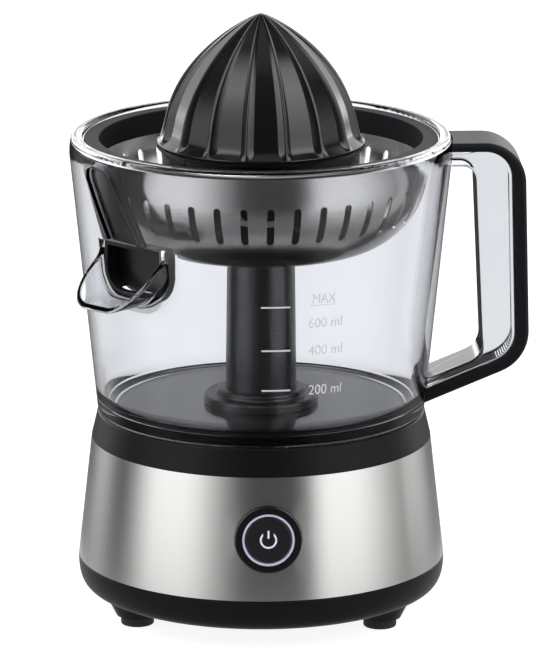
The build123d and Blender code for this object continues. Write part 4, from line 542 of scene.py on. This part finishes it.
def addStripe(shape, height, fromTurn, toTurn, width):
    steps = printLook["lineSteps"]
    rings = []
    for i in range(steps + 1):
        turn = math.radians(fromTurn + (toTurn - fromTurn) * i / steps)
        rings.append([shape.verts.new((turn, height + side * width / 2, depth))
                      for side, depth in ((-1, 0), (1, 0), (1, 1), (-1, 1))])
    for ring, following in zip(rings, rings[1:]):
        for i in range(4):
            shape.faces.new((ring[i], ring[(i + 1) % 4], following[(i + 1) % 4], following[i]))
    shape.faces.new(rings[0])
    shape.faces.new(rings[-1])


def addWord(shape, text, height, fromTurn, toTurn):
    curve = bpy.data.curves.new("word", "FONT")
    curve.body = text
    curve.extrude = 0.5    # each way, so the letters are 1 deep
    carrier = bpy.data.objects.new("word", curve)
    scene.collection.objects.link(carrier)
    mesh = settledMesh(carrier)
    xs = [v.co.x for v in mesh.vertices]
    ys = [v.co.y for v in mesh.vertices]
    start, low = min(xs), min(ys)
    wide, tall = max(xs) - start, max(ys) - low
    for v in mesh.vertices:
        v.co = (math.radians(fromTurn + (toTurn - fromTurn) * (v.co.x - start) / wide),
                height + (v.co.y - low - tall / 2) * printLook["capHeight"] / tall, v.co.z + curve.extrude)
    shape.from_mesh(mesh)


printShape = bmesh.new()
for stripe in printLook["lines"]:
    addStripe(printShape, *stripe, printLook["lineWidth"])
addStripe(printShape, *printLook["underline"])
for word in printLook["words"]:
    addWord(printShape, *word)
wrapOnWall(printShape)
bmesh.ops.remove_doubles(printShape, verts=printShape.verts, dist=printLook["merge"] * mm)
bmesh.ops.recalc_face_normals(printShape, faces=printShape.faces)
printMesh = bpy.data.meshes.new("level_marks")
printShape.to_mesh(printMesh)
printShape.free()
levelMarks = pieceFrom("level_marks", printMesh, "jug", "symbol_white")
levelMarks.data.materials[0] = finishes["print_grey"]    # the ink is greyer than the slot's insert
print("level marks printed:", len(printMesh.polygons), "faces")

# plain pale floor, metres: white to the camera and through clear plastic, with a soft shadow; metal and gloss
# see only the part of it that lies near the object, brightest right under it
floorLook = {"radius": 7.0, "sides": 64, "colour": "#9a9a9a", "lift": 0.9, "near": (0.14, 0.4),
             "under": (0.115, 0.16), "underGlow": 0.75, "nearGlow": 0.3}
bpy.ops.mesh.primitive_circle_add(vertices=floorLook["sides"], radius=floorLook["radius"], fill_type="NGON")
floor = bpy.context.object
floor.name = "floor"
floorMaterial, tree = newMaterial("pale_floor")
rays = addNode(tree, "ShaderNodeLightPath").outputs
direct = addNode(tree, "ShaderNodeMath", {0: rays["Diffuse Depth"], 1: 0.5}, operation="LESS_THAN").outputs[0]
lift = addNode(tree, "ShaderNodeMath", {0: direct, 1: floorLook["lift"]}, operation="MULTIPLY").outputs[0]
glow = addNode(tree, "ShaderNodeEmission", {"Strength": lift}).outputs[0]
matt = addNode(tree, "ShaderNodeBsdfDiffuse", {"Color": linear(floorLook["colour"])}).outputs[0]
pale = addNode(tree, "ShaderNodeAddShader", {0: glow, 1: matt}).outputs[0]
reflected = addNode(tree, "ShaderNodeMath", {0: rays["Glossy Depth"], 1: 0.5}, operation="GREATER_THAN").outputs[0]
spot = addNode(tree, "ShaderNodeTexCoord").outputs["Object"]
away = addNode(tree, "ShaderNodeVectorMath", {0: spot}, operation="LENGTH").outputs["Value"]
fade = addNode(tree, "ShaderNodeMapRange", {
    "Value": away, "From Min": floorLook["near"][0], "From Max": floorLook["near"][1],
    "To Min": 1.0, "To Max": 0.0}).outputs["Result"]
glowLevel = addNode(tree, "ShaderNodeMapRange", {
    "Value": away, "From Min": floorLook["under"][0], "From Max": floorLook["under"][1],
    "To Min": floorLook["underGlow"], "To Max": floorLook["nearGlow"]}).outputs["Result"]
nearGlow = addNode(tree, "ShaderNodeEmission", {"Strength": glowLevel}).outputs[0]
gone = addNode(tree, "ShaderNodeBsdfTransparent").outputs[0]
mirrored = addNode(tree, "ShaderNodeMixShader", {0: fade, 1: gone, 2: nearGlow}).outputs[0]
shown = addNode(tree, "ShaderNodeMixShader", {0: reflected, 1: pale, 2: mirrored}).outputs[0]
addNode(tree, "ShaderNodeOutputMaterial", {"Surface": shown})
floor.data.materials.append(floorMaterial)
print("floor laid")

# Studio for reflections: soft panels at both sides and a white sheet behind. Each panel's level is its gain times
# its level at that turn and that rise. Turns are degrees from the camera's side towards +X; rises are sines of
# the angle above the floor. A panel with "through" or "glints" is seen only by light that has crossed, or glanced
# off, that many faces, so clear plastic and what stands in it can be lit apart from steel and black.
sheetTurn = ((-180, 1), (-126, 1), (-106, 0), (106, 0), (126, 1), (180, 1))
sheetRise = ((-1, 0), (-0.06, 0), (0.04, 1), (0.5, 1), (0.72, 0), (1, 0))
studio = {
    "ambient": ((-1, 0.5), (-0.8, 0.45), (-0.55, 0.12), (-0.35, 0.08), (-0.05, 0.05), (0.15, 0.04), (0.88, 0.04),
                (0.95, 0.4), (1, 0.5)),
    "panels": (
        # side panels at the object's own height, for the bands of light on the steel
        {"gain": 2.15,
         "turn": ((-180, 0), (-158, 0), (-146, 0.15), (-137, 0.3), (-128, 0.25), (-114, 0.06), (-104, 0.06),
                  (-94, 0.3), (-86, 0.65), (-76, 1), (-54, 1), (-44, 0.85), (-36, 0.6), (-26, 0.3), (-16, 0.06),
                  (-6, 0.02), (20, 0.02), (28, 0.15), (34, 0.65), (41, 1), (64, 1), (76, 0.8), (88, 0.55),
                  (98, 0.36), (104, 0.26), (106, 0.5), (120, 0.45), (134, 0.25), (146, 0.06), (180, 0)),
         "rise": ((-1, 0.25), (-0.8, 0.5), (-0.45, 0.9), (-0.1, 1), (0.12, 1), (0.3, 0.5), (0.45, 0.1), (0.6, 0),
                  (1, 0))},
        # their upper halves, for the reamer's flutes
        {"gain": 4.6,
         "turn": ((-180, 0), (-92, 0), (-80, 1), (-50, 1), (-36, 0.1), (-20, 0), (24, 0), (38, 1), (78, 1), (90, 0),
                  (180, 0)),
         "rise": ((-1, 0), (0.1, 0), (0.45, 0.7), (0.7, 1), (0.85, 0.8), (0.95, 0), (1, 0))},
        # the sheet behind, in the open and through one wall of the jug
        {"gain": 2.2, "through": (0, 2), "turn": sheetTurn, "rise": sheetRise},
        # the same sheet from inside the jug, dimmed by its walls
        {"gain": 0.95, "through": (3, 60), "turn": sheetTurn, "rise": sheetRise},
        # the sheet's bend to the floor, a bright line on far edges
        {"gain": 2.4, "through": (0, 0),
         "turn": ((-180, 1), (-130, 1), (-114, 0), (114, 0), (130, 1), (180, 1)),
         "rise": ((-1, 0), (-0.08, 0), (-0.02, 1), (0.06, 1), (0.12, 0), (1, 0))},
        # fill for the edges of clear plastic, from the front
        {"gain": 0.55, "through": (1, 2),
         "turn": ((-180, 0), (-140, 0), (-122, 1), (122, 1), (140, 0), (180, 0)),
         "rise": ((-1, 0.4), (-0.4, 1), (0.3, 1), (0.7, 0.5), (1, 0.4))},
        # light that has run a long way inside clear plastic, from all round
        {"gain": 0.45, "through": (3, 60), "glints": (2, 60),
         "turn": ((-180, 1), (180, 1)), "rise": ((-1, 0.5), (-0.4, 1), (0.3, 1), (1, 0.5))},
        # the sheet's foot, for the lower edges of the jug
        {"gain": 0.95, "through": (1, 60),
         "turn": ((-180, 1), (-140, 1), (-122, 0), (122, 0), (140, 1), (180, 1)),
         "rise": ((-1, 0.3), (-0.5, 1), (-0.05, 1), (0.05, 0), (1, 0))})}


def fillRamp(ramp, pairs, lowest, highest):
    stops = ramp.color_ramp.elements
    for index, (at, level) in enumerate(pairs):
        stop = stops[index] if index < 2 else stops.new(1.0)    # a new ramp has two stops
        stop.position = (at - lowest) / (highest - lowest)
        stop.color = (level, level, level, 1.0)


world = bpy.data.worlds.new("studio")
scene.world = world
world.use_nodes = True
tree = world.node_tree
tree.nodes.clear()
way = addNode(tree, "ShaderNodeTexCoord").outputs["Generated"]
parts = addNode(tree, "ShaderNodeSeparateXYZ", {"Vector": way}).outputs
front = addNode(tree, "ShaderNodeMath", {0: parts["Y"], 1: -1.0}, operation="MULTIPLY").outputs[0]
turn = addNode(tree, "ShaderNodeMath", {0: parts["X"], 1: front}, operation="ARCTAN2").outputs[0]
turnShare = addNode(tree, "ShaderNodeMapRange", {
    "Value": turn, "From Min": -math.pi, "From Max": math.pi}).outputs["Result"]
riseShare = addNode(tree, "ShaderNodeMapRange", {
    "Value": parts["Z"], "From Min": -1.0, "From Max": 1.0}).outputs["Result"]
rays = addNode(tree, "ShaderNodeLightPath").outputs
ambientRamp = addNode(tree, "ShaderNodeValToRGB", {0: riseShare})
fillRamp(ambientRamp, studio["ambient"], -1, 1)
total = ambientRamp.outputs["Color"]
for panel in studio["panels"]:
    turnRamp = addNode(tree, "ShaderNodeValToRGB", {0: turnShare})
    fillRamp(turnRamp, panel["turn"], -180, 180)
    riseRamp = addNode(tree, "ShaderNodeValToRGB", {0: riseShare})
    fillRamp(riseRamp, panel["rise"], -1, 1)
    lit = addNode(tree, "ShaderNodeMath", {
        0: turnRamp.outputs["Color"], 1: riseRamp.outputs["Color"]}, operation="MULTIPLY").outputs[0]
    for depth, limits in (("Transmission Depth", panel.get("through")), ("Glossy Depth", panel.get("glints"))):
        if limits:
            for limit, side in ((limits[0] - 0.5, "GREATER_THAN"), (limits[1] + 0.5, "LESS_THAN")):
                within = addNode(tree, "ShaderNodeMath", {0: rays[depth], 1: limit}, operation=side).outputs[0]
                lit = addNode(tree, "ShaderNodeMath", {0: lit, 1: within}, operation="MULTIPLY").outputs[0]
    total = addNode(tree, "ShaderNodeMath", {
        0: lit, 1: panel["gain"], 2: total}, operation="MULTIPLY_ADD").outputs[0]
# plain white to the camera and straight through clear plastic
bounces = addNode(tree, "ShaderNodeMath", {
    0: rays["Glossy Depth"], 1: rays["Diffuse Depth"]}, operation="ADD").outputs[0]
straight = addNode(tree, "ShaderNodeMath", {0: bounces, 1: 0.5}, operation="LESS_THAN").outputs[0]
level = addNode(tree, "ShaderNodeMapRange", {"Value": straight, "To Min": total, "To Max": 1.0}).outputs["Result"]
around = addNode(tree, "ShaderNodeBackground", {"Strength": level}).outputs[0]
addNode(tree, "ShaderNodeOutputWorld", {"Surface": around})


def aimed(thing, place, aim):
    scene.collection.objects.link(thing)
    thing.location = place
    thing.rotation_euler = (Vector(aim) - Vector(place)).to_track_quat("-Z", "Y").to_euler()


# one large soft lamp above, a little to the left, for the matt faces only; metres and watts
lamp = {"size": 1.4, "power": 22.0, "place": (-0.5, -0.7, 1.7), "aim": (0.0, 0.0, 0.12)}
lampData = bpy.data.lights.new("top_softbox", "AREA")
lampData.shape = "DISK"
lampData.size = lamp["size"]
lampData.energy = lamp["power"]
topSoftbox = bpy.data.objects.new("top_softbox", lampData)
aimed(topSoftbox, lamp["place"], lamp["aim"])
topSoftbox.visible_camera = False
topSoftbox.visible_glossy = False
print("studio set")

# a long lens from about 2.2 m; place and aim in metres, lens and sensor in millimetres
view = {"place": (-0.0843, -2.0983, 0.643), "aim": (0.0041, -0.0002, 0.1187), "lens": 291.43, "sensor": 36.0}
cameraData = bpy.data.cameras.new("camera")
cameraData.sensor_fit = "VERTICAL"
cameraData.sensor_height = view["sensor"]
cameraData.lens = view["lens"]
camera = bpy.data.objects.new("camera", cameraData)
aimed(camera, view["place"], view["aim"])
scene.camera = camera
print("camera set")
